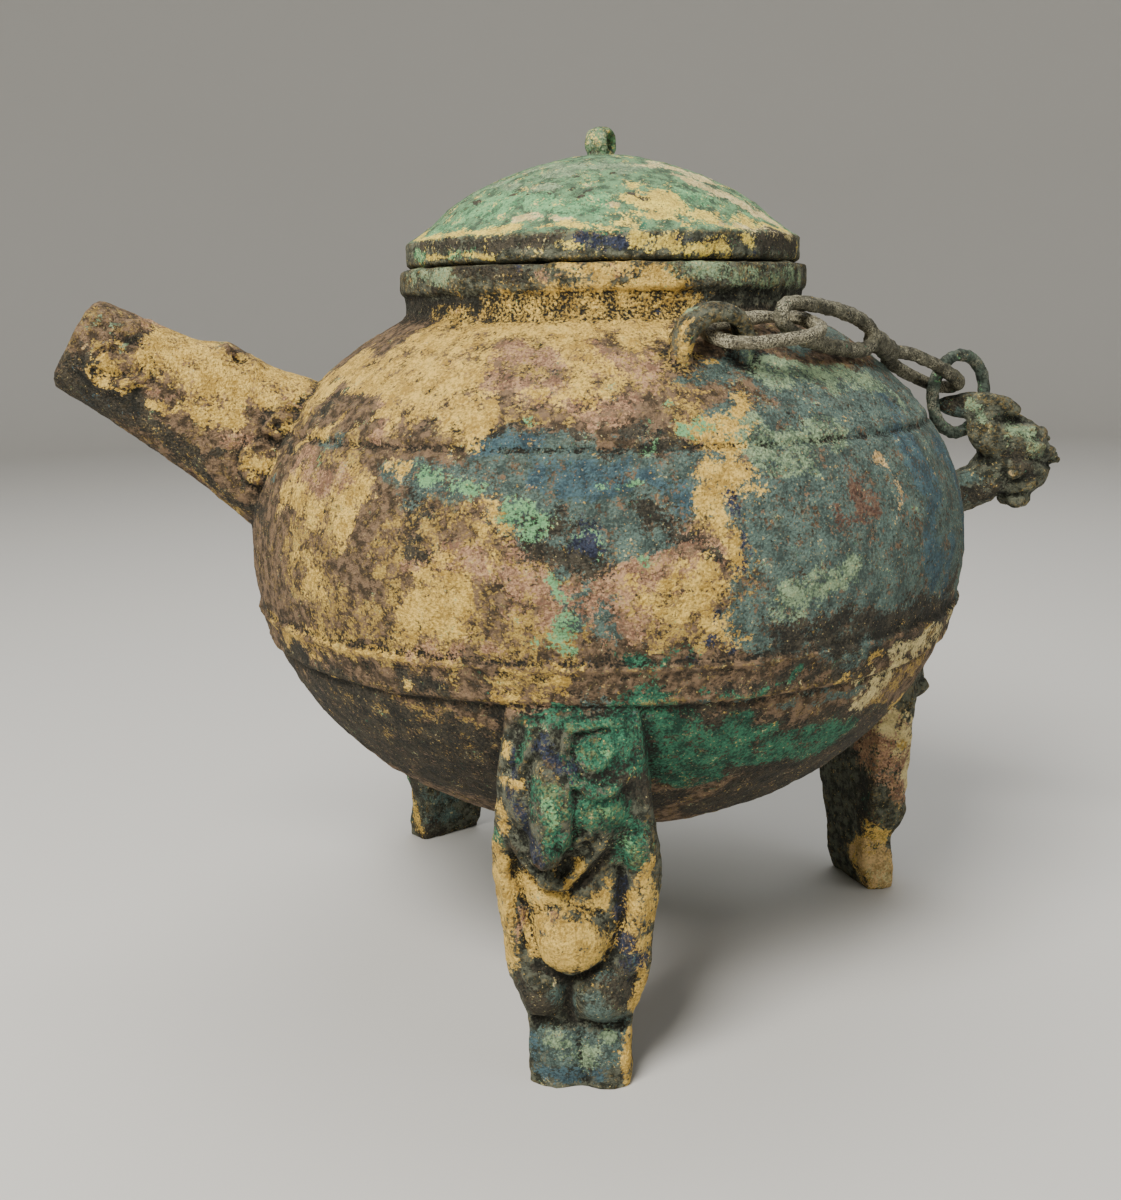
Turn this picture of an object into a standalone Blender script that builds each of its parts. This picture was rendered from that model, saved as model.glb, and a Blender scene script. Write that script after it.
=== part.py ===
# A covered bronze vessel on three bear legs, with a beast-neck spout, a lug, a chain and a hook.
# The frame is in metres with +Z up, the spout towards -X and the feet on the floor at z = 0.
# Everything is drawn about the body's own axis, then moved together so that the origin is at the
# bottom centre of the box round the whole.
import math

import bmesh
import bpy
import numpy as np
from mathutils import Matrix, Vector

for old in list(bpy.data.objects):
    bpy.data.objects.remove(old, do_unlink=True)

# Turned body
BODY_RADIUS = 0.1015
BELLY_HEIGHT = 0.125
SHOULDER_RISE = 0.0733
BOWL_DROP = 0.084
WALL = 0.0034
TURN_STEPS = 36

# Neck and mouth, the neck and the rim built outwards from the mouth
MOUTH_RADIUS = 0.0512
NECK_WALL = 0.0044
NECK_RADIUS = MOUTH_RADIUS + NECK_WALL
NECK_HEIGHT = 0.0062
RIM_PROUD = 0.0014
RIM_RADIUS = NECK_RADIUS + RIM_PROUD
RIM_HEIGHT = 0.0068
RIM_EDGE = 0.0006

# Lines and band round the body, measured from its widest level
SHOULDER_LINE_RISE = 0.0398
SHOULDER_LINE_PROUD = 0.0004
GROOVE_RISE = 0.0320
GROOVE_DEPTH = 0.0008
LINE_WIDTH = 0.0018
BAND_TOP_DROP = 0.0164
BAND_HEIGHT = 0.0090
BAND_PROUD = 0.0012

# Lid and its ring knob
SEAT_GAP = 0.0003
LID_SEAT_WIDTH = 0.0039
LID_RADIUS = MOUTH_RADIUS + LID_SEAT_WIDTH
LID_EDGE_HEIGHT = 0.0058
LID_EDGE_CHAMFER = 0.0010
LID_RISE = 0.0234
LID_WALL = 0.0028
LID_LIP_DEPTH = 0.0030
LID_LIP_WIDTH = 0.0022
LID_LIP_CLEARANCE = 0.0006
KNOB_RADIUS = 0.0031
KNOB_THICKNESS = 0.0028
KNOB_BREADTH = 0.0066
KNOB_TURN = math.radians(-35)

# Bear legs: where each stands, and how far its foot is splayed out
LEG_AZIMUTHS = (math.radians(-105), math.radians(12), math.radians(118))
LEG_SPLAYS = (-0.0030, 0.0010, 0.0080)
LEG_INSET = 0.0045
LEG_DEPTH = 0.0135
LEG_HALF_WIDTH = 0.0200
LEG_UNDER_BAND = 0.0012
LEG_HEEL = 0.0025
LEG_ROWS = 21

# Spout, straight from its root inside the wall to its tip
SPOUT_ROOT_INSET = 0.0295
SPOUT_ROOT_RISE = 0.0140
SPOUT_LENGTH = 0.0848
SPOUT_SLOPE = math.radians(30.6)
SPOUT_TIP_HALF_HEIGHT = 0.0134
SPOUT_ROOT_HALF_HEIGHT = 0.0228
SPOUT_TIP_HALF_WIDTH = 0.0120
SPOUT_ROOT_HALF_WIDTH = 0.0190
SPOUT_TIP_WALL = 0.0048
SPOUT_ROOT_WALL = 0.0062
SPOUT_EAR_RISE = 0.0030
SPOUT_MOUTH_CHAMFER = 0.0014
SPOUT_ROWS = 12
BOSS_RADIUS = 0.0054
BOSS_RISE = 0.0026
CURL_RADIUS = 0.0016

# Lug on the shoulder
LUG_AZIMUTH = math.radians(-79)
LUG_OFF_NECK = 0.0159
LUG_MEAN_RADIUS = 0.0086
LUG_THICKNESS = 0.0044
LUG_BREADTH = 0.0080
LUG_STAND = 0.0024

# Beast-head hook opposite the spout
HOOK_RISE = 0.0050
HOOK_LENGTH = 0.0400

# Chain: wire sizes, and how its links lie over the shoulder, reached from the lug along it
LINK_A_WIRE = 0.0017
LINK_A_HALF_WIDTH = 0.0091
LINK_A_WIDE = (0.272, 0.915, -0.312)
LINK_A_END_REACH = 0.02705
LINK_A_END_OFF_NECK = 0.0155
LINK_A_END_LIFT = 0.0080
LINK_B_WIRE = 0.0020
LINK_B_WAIST = 0.0031
LINK_B_HALF_WIDTH = 0.0047
LINK_B_START_REACH = 0.01524
LINK_B_START_OFF_NECK = 0.0154
LINK_B_START_LIFT = 0.0105
LINK_B_START_WIDE = (0.140, 0.728, 0.678)
LINK_B_WAIST_REACH = 0.05622
LINK_B_WAIST_OFF_NECK = 0.0188
LINK_B_WAIST_LIFT = 0.0057
LINK_B_TURN_RISE = 0.00566
LINK_B_END_WIDE = (0.10, -0.905, 0.427)
RING_WIRE = 0.0019
RING_RADIUS = 0.0115
RING_NORMAL = (0.437, -0.899, 0.0)
WIRE_STEPS = 22


# Materials

def bronze(name, colour, rough=0.75, metal=0.25):
    mat = bpy.data.materials.new(name)
    mat.use_nodes = True
    shader = mat.node_tree.nodes["Principled BSDF"]
    shader.inputs["Base Color"].default_value = (*colour, 1.0)
    shader.inputs["Roughness"].default_value = rough
    shader.inputs["Metallic"].default_value = metal
    return mat


# Mesh helpers

def new_object(name, verts, faces, mat=None):
    """A named object from points and faces, with its normals turned outwards."""
    bm = bmesh.new()
    made = [bm.verts.new(v) for v in verts]
    for face in faces:
        bm.faces.new([made[i] for i in face])
    bmesh.ops.recalc_face_normals(bm, faces=bm.faces)
    mesh = bpy.data.meshes.new(name)
    bm.to_mesh(mesh)
    bm.free()
    if mat:
        mesh.materials.append(mat)
    ob = bpy.data.objects.new(name, mesh)
    bpy.context.scene.collection.objects.link(ob)
    return ob


def lofted(name, rings, mat=None, closed=False):
    """A solid through a row of rings of equal point counts, capped unless it closes on itself."""
    count = len(rings[0])
    verts = [Vector(p) for ring in rings for p in ring]
    faces = []
    last = len(rings) if closed else len(rings) - 1
    for i in range(last):
        a = i * count
        b = ((i + 1) % len(rings)) * count
        for k in range(count):
            j = (k + 1) % count
            faces.append((a + k, a + j, b + j, b + k))
    if not closed:
        faces.append(tuple(range(count)))
        faces.append(tuple(range((len(rings) - 1) * count, len(rings) * count)))
    return new_object(name, verts, faces, mat)


def turned(name, profile, mat=None):
    """A solid turned about Z from a profile at +X that runs down its outer side."""
    mesh = bpy.data.meshes.new(name)
    points = [(r, 0.0, z) for r, z in profile]
    mesh.from_pydata(points, [(i, i + 1) for i in range(len(points) - 1)], [])
    if mat:
        mesh.materials.append(mat)
    ob = bpy.data.objects.new(name, mesh)
    bpy.context.scene.collection.objects.link(ob)
    screw = ob.modifiers.new("turn", "SCREW")
    screw.axis = "Z"
    screw.angle = 2 * math.pi
    screw.steps = TURN_STEPS
    screw.render_steps = TURN_STEPS
    screw.use_merge_vertices = True
    screw.merge_threshold = 0.00001
    screw.use_smooth_shade = True
    return ob


def tool(ob):
    """Marks an object as a cutter or a joined form, which is no piece of its own."""
    ob.hide_render = True
    ob.display_type = "WIRE"
    return ob


def boolean(ob, other, kind):
    mod = ob.modifiers.new(other.name, "BOOLEAN")
    mod.operation = kind
    mod.solver = "EXACT"
    mod.object = tool(other)


def frame_of(direction, side_hint):
    """Three unit axes: along the direction, towards the hint, and across both."""
    along = Vector(direction).normalized()
    side = Vector(side_hint)
    side = (side - along * side.dot(along)).normalized()
    return along, side, along.cross(side)


def wire(name, path, radius, sides=6, closed=True, mat=None, taper=None):
    """A round wire along a list of points, its sides carried along without a twist."""
    rings = []
    count = len(path)
    side = Vector((0.13, 0.21, 0.97))
    for i, point in enumerate(path):
        before = path[i - 1] if closed or i > 0 else path[i]
        after = path[(i + 1) % count] if closed or i < count - 1 else path[i]
        _, side, across = frame_of(Vector(after) - Vector(before), side)
        size = radius * (taper[i] if taper else 1.0)
        ring = []
        for k in range(sides):
            turn = 2 * math.pi * k / sides
            ring.append(Vector(point) + (side * math.cos(turn) + across * math.sin(turn)) * size)
        rings.append(ring)
    return lofted(name, rings, mat, closed)


def blob(name, centre, halves, along=(1, 0, 0), side_hint=(0, 1, 0), segments=10, rings=7):
    """A low ellipsoid with its three half sizes along, across and over a direction."""
    one, two, three = frame_of(along, side_hint)
    turn = Matrix((one, two, three)).transposed().to_4x4()
    size = Matrix.Diagonal((*halves, 1.0))
    bm = bmesh.new()
    bmesh.ops.create_uvsphere(bm, u_segments=segments, v_segments=rings, radius=1.0,
                              matrix=Matrix.Translation(centre) @ turn @ size)
    bmesh.ops.recalc_face_normals(bm, faces=bm.faces)
    mesh = bpy.data.meshes.new(name)
    bm.to_mesh(mesh)
    bm.free()
    ob = bpy.data.objects.new(name, mesh)
    bpy.context.scene.collection.objects.link(ob)
    return ob


# Body outline

def shell_radius(z, inset=0.0):
    """Radius of the turned body at a height: two half ellipses that meet at the widest level."""
    half = SHOULDER_RISE if z > BELLY_HEIGHT else BOWL_DROP
    share = min(1.0, abs(z - BELLY_HEIGHT) / (half - inset))
    return (BODY_RADIUS - inset) * math.sqrt(1.0 - share * share)


def shell_height(radius, inset=0.0):
    """Height on the shoulder where the body has a given radius."""
    share = radius / (BODY_RADIUS - inset)
    return BELLY_HEIGHT + (SHOULDER_RISE - inset) * math.sqrt(1.0 - share * share)


def over_shoulder(azimuth, off_neck, lift):
    """A place over the shoulder, its foot point a way off the neck, and the way out there."""
    radius = NECK_RADIUS + off_neck
    z = shell_height(radius)
    slope = (SHOULDER_RISE / BODY_RADIUS) ** 2 * radius / (z - BELLY_HEIGHT)
    out = Vector((math.cos(azimuth), math.sin(azimuth), 0.0))
    normal = (out * slope + Vector((0, 0, 1))).normalized()
    return out * radius + Vector((0, 0, z)) + normal * lift, normal


def shoulder_way(azimuth, off_neck, shares):
    """A direction on the shoulder, from its shares round the body, uphill and straight out."""
    _, normal = over_shoulder(azimuth, off_neck, 0.0)
    around = Vector((-math.sin(azimuth), math.cos(azimuth), 0.0))
    return around * shares[0] + normal.cross(around) * shares[1] + normal * shares[2]


def from_lug(reach, off_neck, lift):
    """A place over the shoulder, a given reach round it from the lug."""
    azimuth = LUG_AZIMUTH + reach / (NECK_RADIUS + off_neck)
    return over_shoulder(azimuth, off_neck, lift)


NECK_FOOT = shell_height(NECK_RADIUS)
RIM_FOOT = NECK_FOOT + NECK_HEIGHT
RIM_TOP = RIM_FOOT + RIM_HEIGHT
BAND_TOP = BELLY_HEIGHT - BAND_TOP_DROP
BAND_FOOT = BAND_TOP - BAND_HEIGHT
LEG_HEIGHT = BAND_FOOT - LEG_UNDER_BAND


def body_profile():
    """Outline of the solid body from the mouth's centre down to the bowl's centre."""
    profile = [(0.0, RIM_TOP), (RIM_RADIUS - RIM_EDGE, RIM_TOP), (RIM_RADIUS, RIM_TOP - RIM_EDGE)]
    profile += [(RIM_RADIUS, RIM_FOOT + RIM_EDGE), (NECK_RADIUS, RIM_FOOT - RIM_EDGE)]
    profile += [(NECK_RADIUS, NECK_FOOT)]
    line = BELLY_HEIGHT + SHOULDER_LINE_RISE
    groove = BELLY_HEIGHT + GROOVE_RISE
    half = LINE_WIDTH / 2
    start = math.asin((NECK_FOOT - BELLY_HEIGHT) / SHOULDER_RISE)
    for share in (0.87, 0.74):
        z = BELLY_HEIGHT + SHOULDER_RISE * math.sin(start * share)
        profile.append((shell_radius(z), z))
    for z, proud in ((line + half, 0.0), (line, SHOULDER_LINE_PROUD), (line - half, 0.0)):
        profile.append((shell_radius(z) + proud, z))
    for z, deep in ((groove + half, 0.0), (groove, GROOVE_DEPTH), (groove - half, 0.0)):
        profile.append((shell_radius(z) - deep, z))
    for share in (0.36, 0.22, 0.08):
        z = BELLY_HEIGHT + SHOULDER_RISE * math.sin(start * share)
        profile.append((shell_radius(z), z))
    z = BELLY_HEIGHT - BAND_TOP_DROP * 0.45
    profile.append((shell_radius(z), z))
    # The band has a thin ridge on top and steps in below its lower edge.
    for z, proud in ((BAND_TOP + half, 0.1), (BAND_TOP, 1.0), (BAND_TOP - half, 0.45),
                     (BAND_FOOT + half * 1.4, 0.45), (BAND_FOOT + half * 0.4, 0.8),
                     (BAND_FOOT - half * 0.3, 0.7), (BAND_FOOT - half * 0.8, -0.3)):
        profile.append((shell_radius(z) + BAND_PROUD * proud, z))
    low = math.asin((BELLY_HEIGHT - BAND_FOOT) / BOWL_DROP)
    for share in (0.13, 0.27, 0.41, 0.56, 0.72):
        turn = low + (math.pi / 2 - low) * share
        profile.append((BODY_RADIUS * math.cos(turn), BELLY_HEIGHT - BOWL_DROP * math.sin(turn)))
    profile.append((0.0, BELLY_HEIGHT - BOWL_DROP))
    return profile


def cavity_profile():
    """Outline of the hollow, open at the mouth."""
    top = RIM_TOP + WALL
    throat = shell_height(MOUTH_RADIUS, WALL)
    profile = [(0.0, top), (MOUTH_RADIUS, top), (MOUTH_RADIUS, throat)]
    start = math.asin((throat - BELLY_HEIGHT) / (SHOULDER_RISE - WALL))
    turns = [start * share for share in (0.78, 0.52, 0.26, 0.0)]
    turns += [-math.pi / 2 * share for share in (0.17, 0.34, 0.51, 0.68, 0.84)]
    for turn in turns:
        half = (SHOULDER_RISE if turn > 0 else BOWL_DROP) - WALL
        profile.append(((BODY_RADIUS - WALL) * math.cos(turn), BELLY_HEIGHT + half * math.sin(turn)))
    profile.append((0.0, BELLY_HEIGHT - BOWL_DROP + WALL))
    return profile


# Bear legs, drawn in units of a hundredth of the leg's height and a twentieth of its half width

BEAR_HALF_WIDTHS = ((0, 12.4), (5, 12.8), (17, 12.6), (21, 13.6), (26, 16.0), (31, 17.8), (40, 18.2),
                    (48, 19.4), (57, 20.4), (62, 20.2), (70, 19.0), (83, 17.6), (93, 16.4), (100, 15.4))
BEAR_FRONTS = ((0, -1.0), (8, -1.0), (17, -2.5), (22, -1.0), (32, 1.0), (45, 1.0), (58, 1.5), (66, 4.0),
               (78, 6.0), (88, 5.0), (96, 2.5), (100, 1.5))
BEAR_ROUNDS = ((0, 1.5), (18, 2.0), (28, 4.5), (60, 6.5), (80, 6.5), (92, 4.0), (100, 3.0))
BEAR_DOMES = (
    (0.5, 43.0, 11.5, 12.0, 5.5),
    (-9.6, 29.0, 7.6, 7.0, 4.6),
    (8.4, 29.0, 7.6, 7.0, 4.6),
    (-1.0, 61.0, 10.0, 8.0, 2.0),
    (-1.5, 83.0, 15.0, 18.0, 3.5),
    (-4.2, 70.0, 5.2, 5.6, 5.0),
    (-12.0, 88.5, 3.8, 3.8, 2.8),
    (8.0, 90.0, 3.8, 3.8, 2.8),
    (6.5, 75.0, 6.0, 6.0, 2.2),
    (-12.0, 77.0, 4.5, 6.5, 1.8),
)
BEAR_RIDGES = (
    ((-1.5, 94.0), (-4.2, 70.0), 5.2, 3.5, 7.0),
    ((-15.0, 78.0), (-6.5, 59.5), 2.2, 1.8, 3.4),
    ((-6.5, 59.5), (7.0, 74.0), 2.2, 3.4, 1.8),
    ((-16.0, 68.0), (-16.5, 50.0), 4.6, 2.5, 3.2),
    ((-16.5, 50.0), (-13.5, 36.0), 4.2, 3.2, 2.4),
    ((15.5, 68.0), (16.0, 50.0), 4.8, 2.5, 3.2),
    ((16.0, 50.0), (12.5, 36.0), 4.4, 3.2, 2.4),
    ((-6.6, 20.0), (-6.6, 3.0), 5.6, 1.4, 2.6),
    ((7.0, 20.0), (7.0, 3.0), 5.6, 1.4, 2.6),
    ((1.5, 97.0), (3.0, 86.0), 2.2, 1.6, 2.4),
    ((3.0, 86.0), (11.0, 83.5), 2.2, 2.4, 1.8),
    ((-5.0, 97.0), (-8.5, 83.5), 2.2, 1.8, 2.2),
)


def along_table(table, at):
    return float(np.interp(at, [row[0] for row in table], [row[1] for row in table]))


def bear_relief(side, up):
    """How far the bear stands out of its slab at a place on the front, in bear units."""
    rise = 0.0
    for cx, cz, rx, rz, height in BEAR_DOMES:
        left = 1.0 - ((side - cx) / rx) ** 2 - ((up - cz) / rz) ** 2
        if left > 0.0:
            rise += height * left ** 0.75
    tallest = 0.0
    for (ax, az), (bx, bz), radius, first, last in BEAR_RIDGES:
        dx, dz = bx - ax, bz - az
        share = ((side - ax) * dx + (up - az) * dz) / (dx * dx + dz * dz)
        share = min(1.0, max(0.0, share))
        off = math.hypot(side - ax - dx * share, up - az - dz * share) / radius
        if off < 1.0:
            tallest = max(tallest, (first + (last - first) * share) * (1.0 - off * off) ** 0.75)
    return rise + tallest


def leg_rings(splay):
    """Rings of one leg from the floor up, with its front towards +X and its foot splayed outwards."""
    unit_up = LEG_HEIGHT / 100
    unit_side = LEG_HALF_WIDTH / 20
    shares = (-1.0, -0.88, -0.72, -0.56, -0.4, -0.24, -0.08, 0.08, 0.24, 0.4, 0.56, 0.72, 0.88, 1.0)
    face = BODY_RADIUS - LEG_INSET
    rings = []
    for row in range(LEG_ROWS + 1):
        up = 100.0 * row / LEG_ROWS
        half = along_table(BEAR_HALF_WIDTHS, up)
        front = along_table(BEAR_FRONTS, up)
        fall = along_table(BEAR_ROUNDS, up)
        place = face + splay * (1.0 - row / LEG_ROWS)
        heel = LEG_HEEL * max(0.0, 1.0 - up / 8.0)
        ring = []
        for share in shares:
            side = share * half
            rise = bear_relief(side, up) * (1.0 - 0.5 * max(0.0, abs(share) - 0.88) / 0.12)
            out = front + rise - fall * share * share
            ring.append((place + out * unit_up, side * unit_side, up * unit_up))
        for side, deep in ((half, 0.55), (half * 0.9, 1.0), (-half * 0.9, 1.0), (-half, 0.55)):
            ring.append((place - (LEG_DEPTH - heel) * deep, side * unit_side, up * unit_up))
        rings.append(ring)
    return rings


# Spout

SPOUT_TAPER = ((0.0, 1.0), (0.25, 0.97), (0.39, 0.70), (0.55, 0.42), (0.70, 0.24), (0.89, 0.07), (1.0, 0.0))
SPOUT_ROOT = Vector((SPOUT_ROOT_INSET - BODY_RADIUS, 0.0, BELLY_HEIGHT + SPOUT_ROOT_RISE))
SPOUT_AXIS = Vector((-math.cos(SPOUT_SLOPE), 0.0, math.sin(SPOUT_SLOPE))) * SPOUT_LENGTH
SPOUT_SIDE = Vector((0.0, 1.0, 0.0))
SPOUT_OVER = Vector((math.sin(SPOUT_SLOPE), 0.0, math.cos(SPOUT_SLOPE)))


def spout_half(share, wall=0.0):
    """Half height and half width of the spout at a share of its length."""
    taper = along_table(SPOUT_TAPER, share)
    high = SPOUT_TIP_HALF_HEIGHT + (SPOUT_ROOT_HALF_HEIGHT - SPOUT_TIP_HALF_HEIGHT) * taper
    wide = SPOUT_TIP_HALF_WIDTH + (SPOUT_ROOT_HALF_WIDTH - SPOUT_TIP_HALF_WIDTH) * taper
    return high - wall, wide - wall


def spout_point(share, turn, proud=0.0, square=0.8):
    """A point on the spout's skin: share of its length, and the turn from its side up to its top."""
    high, wide = spout_half(share)
    c, s = math.cos(turn), math.sin(turn)
    out = math.copysign(abs(c) ** square, c) * (wide + proud)
    up = math.copysign(abs(s) ** square, s) * (high + proud)
    centre = SPOUT_ROOT + SPOUT_AXIS * share
    return centre + SPOUT_SIDE * out + SPOUT_OVER * up


def spout_rings(sides=20):
    """Rings of the spout's outside, with two ear swellings on its top."""
    rings = []
    shares = [i / SPOUT_ROWS for i in range(SPOUT_ROWS)] + [0.985, 1.0]
    for share in shares:
        ring = []
        for k in range(sides):
            turn = 2 * math.pi * k / sides
            ear = max(0.0, 1.0 - ((share - 0.56) / 0.09) ** 2)
            top = max(0.0, 1.0 - ((turn - math.pi / 2) / 0.9) ** 2)
            proud = SPOUT_EAR_RISE * ear * top - (SPOUT_MOUTH_CHAMFER if share == 1.0 else 0.0)
            ring.append(spout_point(share, turn, proud))
        rings.append(ring)
    return rings


def bore_rings(sides=14):
    """Rings of the pouring channel, a little past both ends of the spout."""
    rings = []
    for share in (-0.05, 0.3, 0.65, 1.03):
        wall = SPOUT_ROOT_WALL + (SPOUT_TIP_WALL - SPOUT_ROOT_WALL) * min(1.0, max(0.0, share))
        high, wide = spout_half(share, wall)
        centre = SPOUT_ROOT + SPOUT_AXIS * share
        ring = []
        for k in range(sides):
            turn = 2 * math.pi * k / sides
            ring.append(centre + SPOUT_SIDE * wide * math.cos(turn) + SPOUT_OVER * high * math.sin(turn))
        rings.append(ring)
    return rings


def curl(share, up, long, high, hand, name):
    """A raised curl on one side of the spout, about a place on its skin."""
    path, taper = [], []
    steps = 11
    for i in range(steps):
        part = i / (steps - 1)
        turn = 2 * math.pi * (0.38 + 0.80 * part)
        grow = 1.0 - 0.35 * part
        at = share + long * grow * math.cos(turn)
        lift = up + high * grow * math.sin(turn)
        skin = lift if hand > 0 else math.pi - lift
        path.append(spout_point(at, skin, -0.0003))
        taper.append(1.0 - 0.4 * abs(part - 0.4))
    return wire(name, path, CURL_RADIUS, sides=5, closed=False, taper=taper)


# Lug

def lug_frame():
    """Centre of the lug's ring, and its axes along the shoulder, upwards and through the hole."""
    seat, normal = over_shoulder(LUG_AZIMUTH, LUG_OFF_NECK, 0.0)
    across = Vector((-math.sin(LUG_AZIMUTH), math.cos(LUG_AZIMUTH), 0.0))
    stand = (normal + Vector((0, 0, 0.9))).normalized()
    return seat + stand * LUG_STAND, across, stand, across.cross(stand)


def lug_rings():
    """A ribbed strap bent to a half ring that stands on the shoulder."""
    middle, across, stand, depth = lug_frame()
    half_t = LUG_THICKNESS / 2
    half_b = LUG_BREADTH / 2
    # The strap's section is flat inside and has three ribs outside.
    section = ((-half_t, -0.85), (-half_t, 0.85), (0.0, 1.0), (half_t * 0.8, 0.8), (half_t * 0.45, 0.5),
               (half_t, 0.25), (half_t, -0.25), (half_t * 0.45, -0.5), (half_t * 0.8, -0.8), (0.0, -1.0))
    rings = []
    steps = 12
    for i in range(steps + 1):
        turn = math.pi * (-0.16 + 1.32 * i / steps)
        away = across * math.cos(turn) + stand * math.sin(turn)
        centre = middle + away * LUG_MEAN_RADIUS
        rings.append([centre + away * a + depth * half_b * b for a, b in section])
    return rings


# Beast-head hook, as shares of its own length

def hook_point(x, y, z):
    root = Vector((BODY_RADIUS - WALL, 0.0, BELLY_HEIGHT + HOOK_RISE))
    return root + Vector((x, y, z)) * HOOK_LENGTH


def hook_parts():
    """The neck, head, near cheek, horn, jaw and teeth of the hook."""
    size = HOOK_LENGTH
    bend = ((-0.08, 0, -0.02), (0.22, 0, 0.02), (0.44, -0.02, 0.10), (0.58, -0.04, 0.26))
    neck = [hook_point(*place) for place in bend]
    parts = [wire("hook_neck", neck, size * 0.17, sides=8, closed=False, taper=[1.1, 0.95, 1.0, 1.1])]
    parts.append(blob("hook_head", hook_point(0.685, -0.08, 0.325), (size * 0.345, size * 0.215, size * 0.26),
                      (0.55, 0, -0.83)))
    parts.append(blob("hook_cheek", hook_point(0.42, -0.16, 0.52), (size * 0.21, size * 0.09, size * 0.16),
                      (0.35, 0, -0.94), segments=10, rings=6))
    parts.append(blob("hook_horn", hook_point(0.335, -0.11, 0.685), (size * 0.315, size * 0.10, size * 0.093),
                      (0.966, -0.26, -0.08)))
    parts.append(blob("hook_jaw", hook_point(0.72, -0.02, 0.0), (size * 0.14, size * 0.15, size * 0.09),
                      (0.9, 0, -0.3), segments=8, rings=6))
    parts.append(blob("hook_eye", hook_point(0.66, -0.2, 0.24), (size * 0.09, size * 0.09, size * 0.09),
                      segments=8, rings=6))
    teeth = (((0.78, 0.05, 0.42), (1.02, 0.02, 0.42), 0.07), ((0.82, -0.08, 0.32), (1.06, -0.06, 0.26), 0.07),
             ((0.80, -0.02, 0.20), (0.98, -0.02, 0.14), 0.06))
    for i, (foot, tip, thick) in enumerate(teeth):
        path = [hook_point(*foot), (hook_point(*foot) + hook_point(*tip)) / 2, hook_point(*tip)]
        parts.append(wire(f"hook_tooth_{i}", path, size * thick, sides=6, closed=False,
                          taper=[1.3, 1.0, 0.35]))
    return parts


# Chain, its far end placed in shares of the hook's length

RING_AT = (0.22, -0.068, 0.785)
LINK_B_TURN = (-0.458, -0.42)
LINK_B_END = (0.17, -0.083, 0.842)


def oval(start, end, wide_hint, half_width, steps):
    """Points of a long oval from one end to the other, its narrow way towards a hint."""
    first, last = Vector(start), Vector(end)
    along, wide, _ = frame_of(last - first, wide_hint)
    middle = (first + last) / 2
    half = (last - first).length / 2
    points = []
    for i in range(steps):
        turn = 2 * math.pi * i / steps
        c, s = math.cos(turn), math.sin(turn)
        points.append(middle + along * half * math.copysign(abs(c) ** 0.85, c)
                      + wide * half_width * math.copysign(abs(s) ** 0.75, s))
    return points


def chain_link_a(mat):
    """A plain oval link through the lug, lying against the shoulder."""
    middle, across, stand, _ = lug_frame()
    start = middle - across * LUG_MEAN_RADIUS * 0.045 + stand * LUG_MEAN_RADIUS * 0.24
    end, _ = from_lug(LINK_A_END_REACH, LINK_A_END_OFF_NECK, LINK_A_END_LIFT)
    wide = shoulder_way(LUG_AZIMUTH, LUG_OFF_NECK, LINK_A_WIDE)
    path = oval(start, end, wide, LINK_A_HALF_WIDTH, WIRE_STEPS)
    return wire("chain_link_a", path, LINK_A_WIRE, mat=mat)


def chain_link_b(mat):
    """One wire bent to two eyes, its waist twisted to a thick bar between them."""
    start, _ = from_lug(LINK_B_START_REACH, LINK_B_START_OFF_NECK, LINK_B_START_LIFT)
    waist, _ = from_lug(LINK_B_WAIST_REACH, LINK_B_WAIST_OFF_NECK, LINK_B_WAIST_LIFT)
    turn = hook_point(*LINK_B_TURN, 0.0)
    turn.z = shell_height(math.hypot(turn.x, turn.y)) + LINK_B_TURN_RISE
    end = hook_point(*LINK_B_END)
    wide = shoulder_way(LUG_AZIMUTH, LUG_OFF_NECK, LINK_B_START_WIDE)
    first = oval(start, waist, wide, LINK_B_HALF_WIDTH, WIRE_STEPS)
    second = oval(turn, end, LINK_B_END_WIDE, LINK_B_HALF_WIDTH, WIRE_STEPS)
    link = wire("chain_link_b", first, LINK_B_WIRE, mat=mat)
    boolean(link, wire("link_b_second_eye", second, LINK_B_WIRE), "UNION")
    way = (turn - waist).normalized()
    bar = [waist.lerp(turn, share) for share in (0.0, 0.25, 0.5, 0.75, 1.0)]
    bar = [waist - way * LINK_B_WIRE] + bar + [turn + way * LINK_B_WIRE]
    swell = [LINK_B_WIRE * 0.5, LINK_B_WIRE * 1.3, LINK_B_WAIST, LINK_B_WAIST * 0.85, LINK_B_WAIST,
             LINK_B_WIRE * 1.3, LINK_B_WIRE * 0.5]
    boolean(link, wire("link_b_waist", bar, 1.0, sides=8, closed=False, taper=swell), "UNION")
    return link


def chain_ring(mat):
    """A round ring that hangs on the hook's horn."""
    _, side, over = frame_of(RING_NORMAL, (0, 0, 1))
    path = []
    for i in range(WIRE_STEPS):
        turn = 2 * math.pi * i / WIRE_STEPS
        path.append(hook_point(*RING_AT) + (side * math.cos(turn) + over * math.sin(turn)) * RING_RADIUS)
    return wire("chain_ring", path, RING_WIRE, mat=mat)


# Vessel

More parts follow.
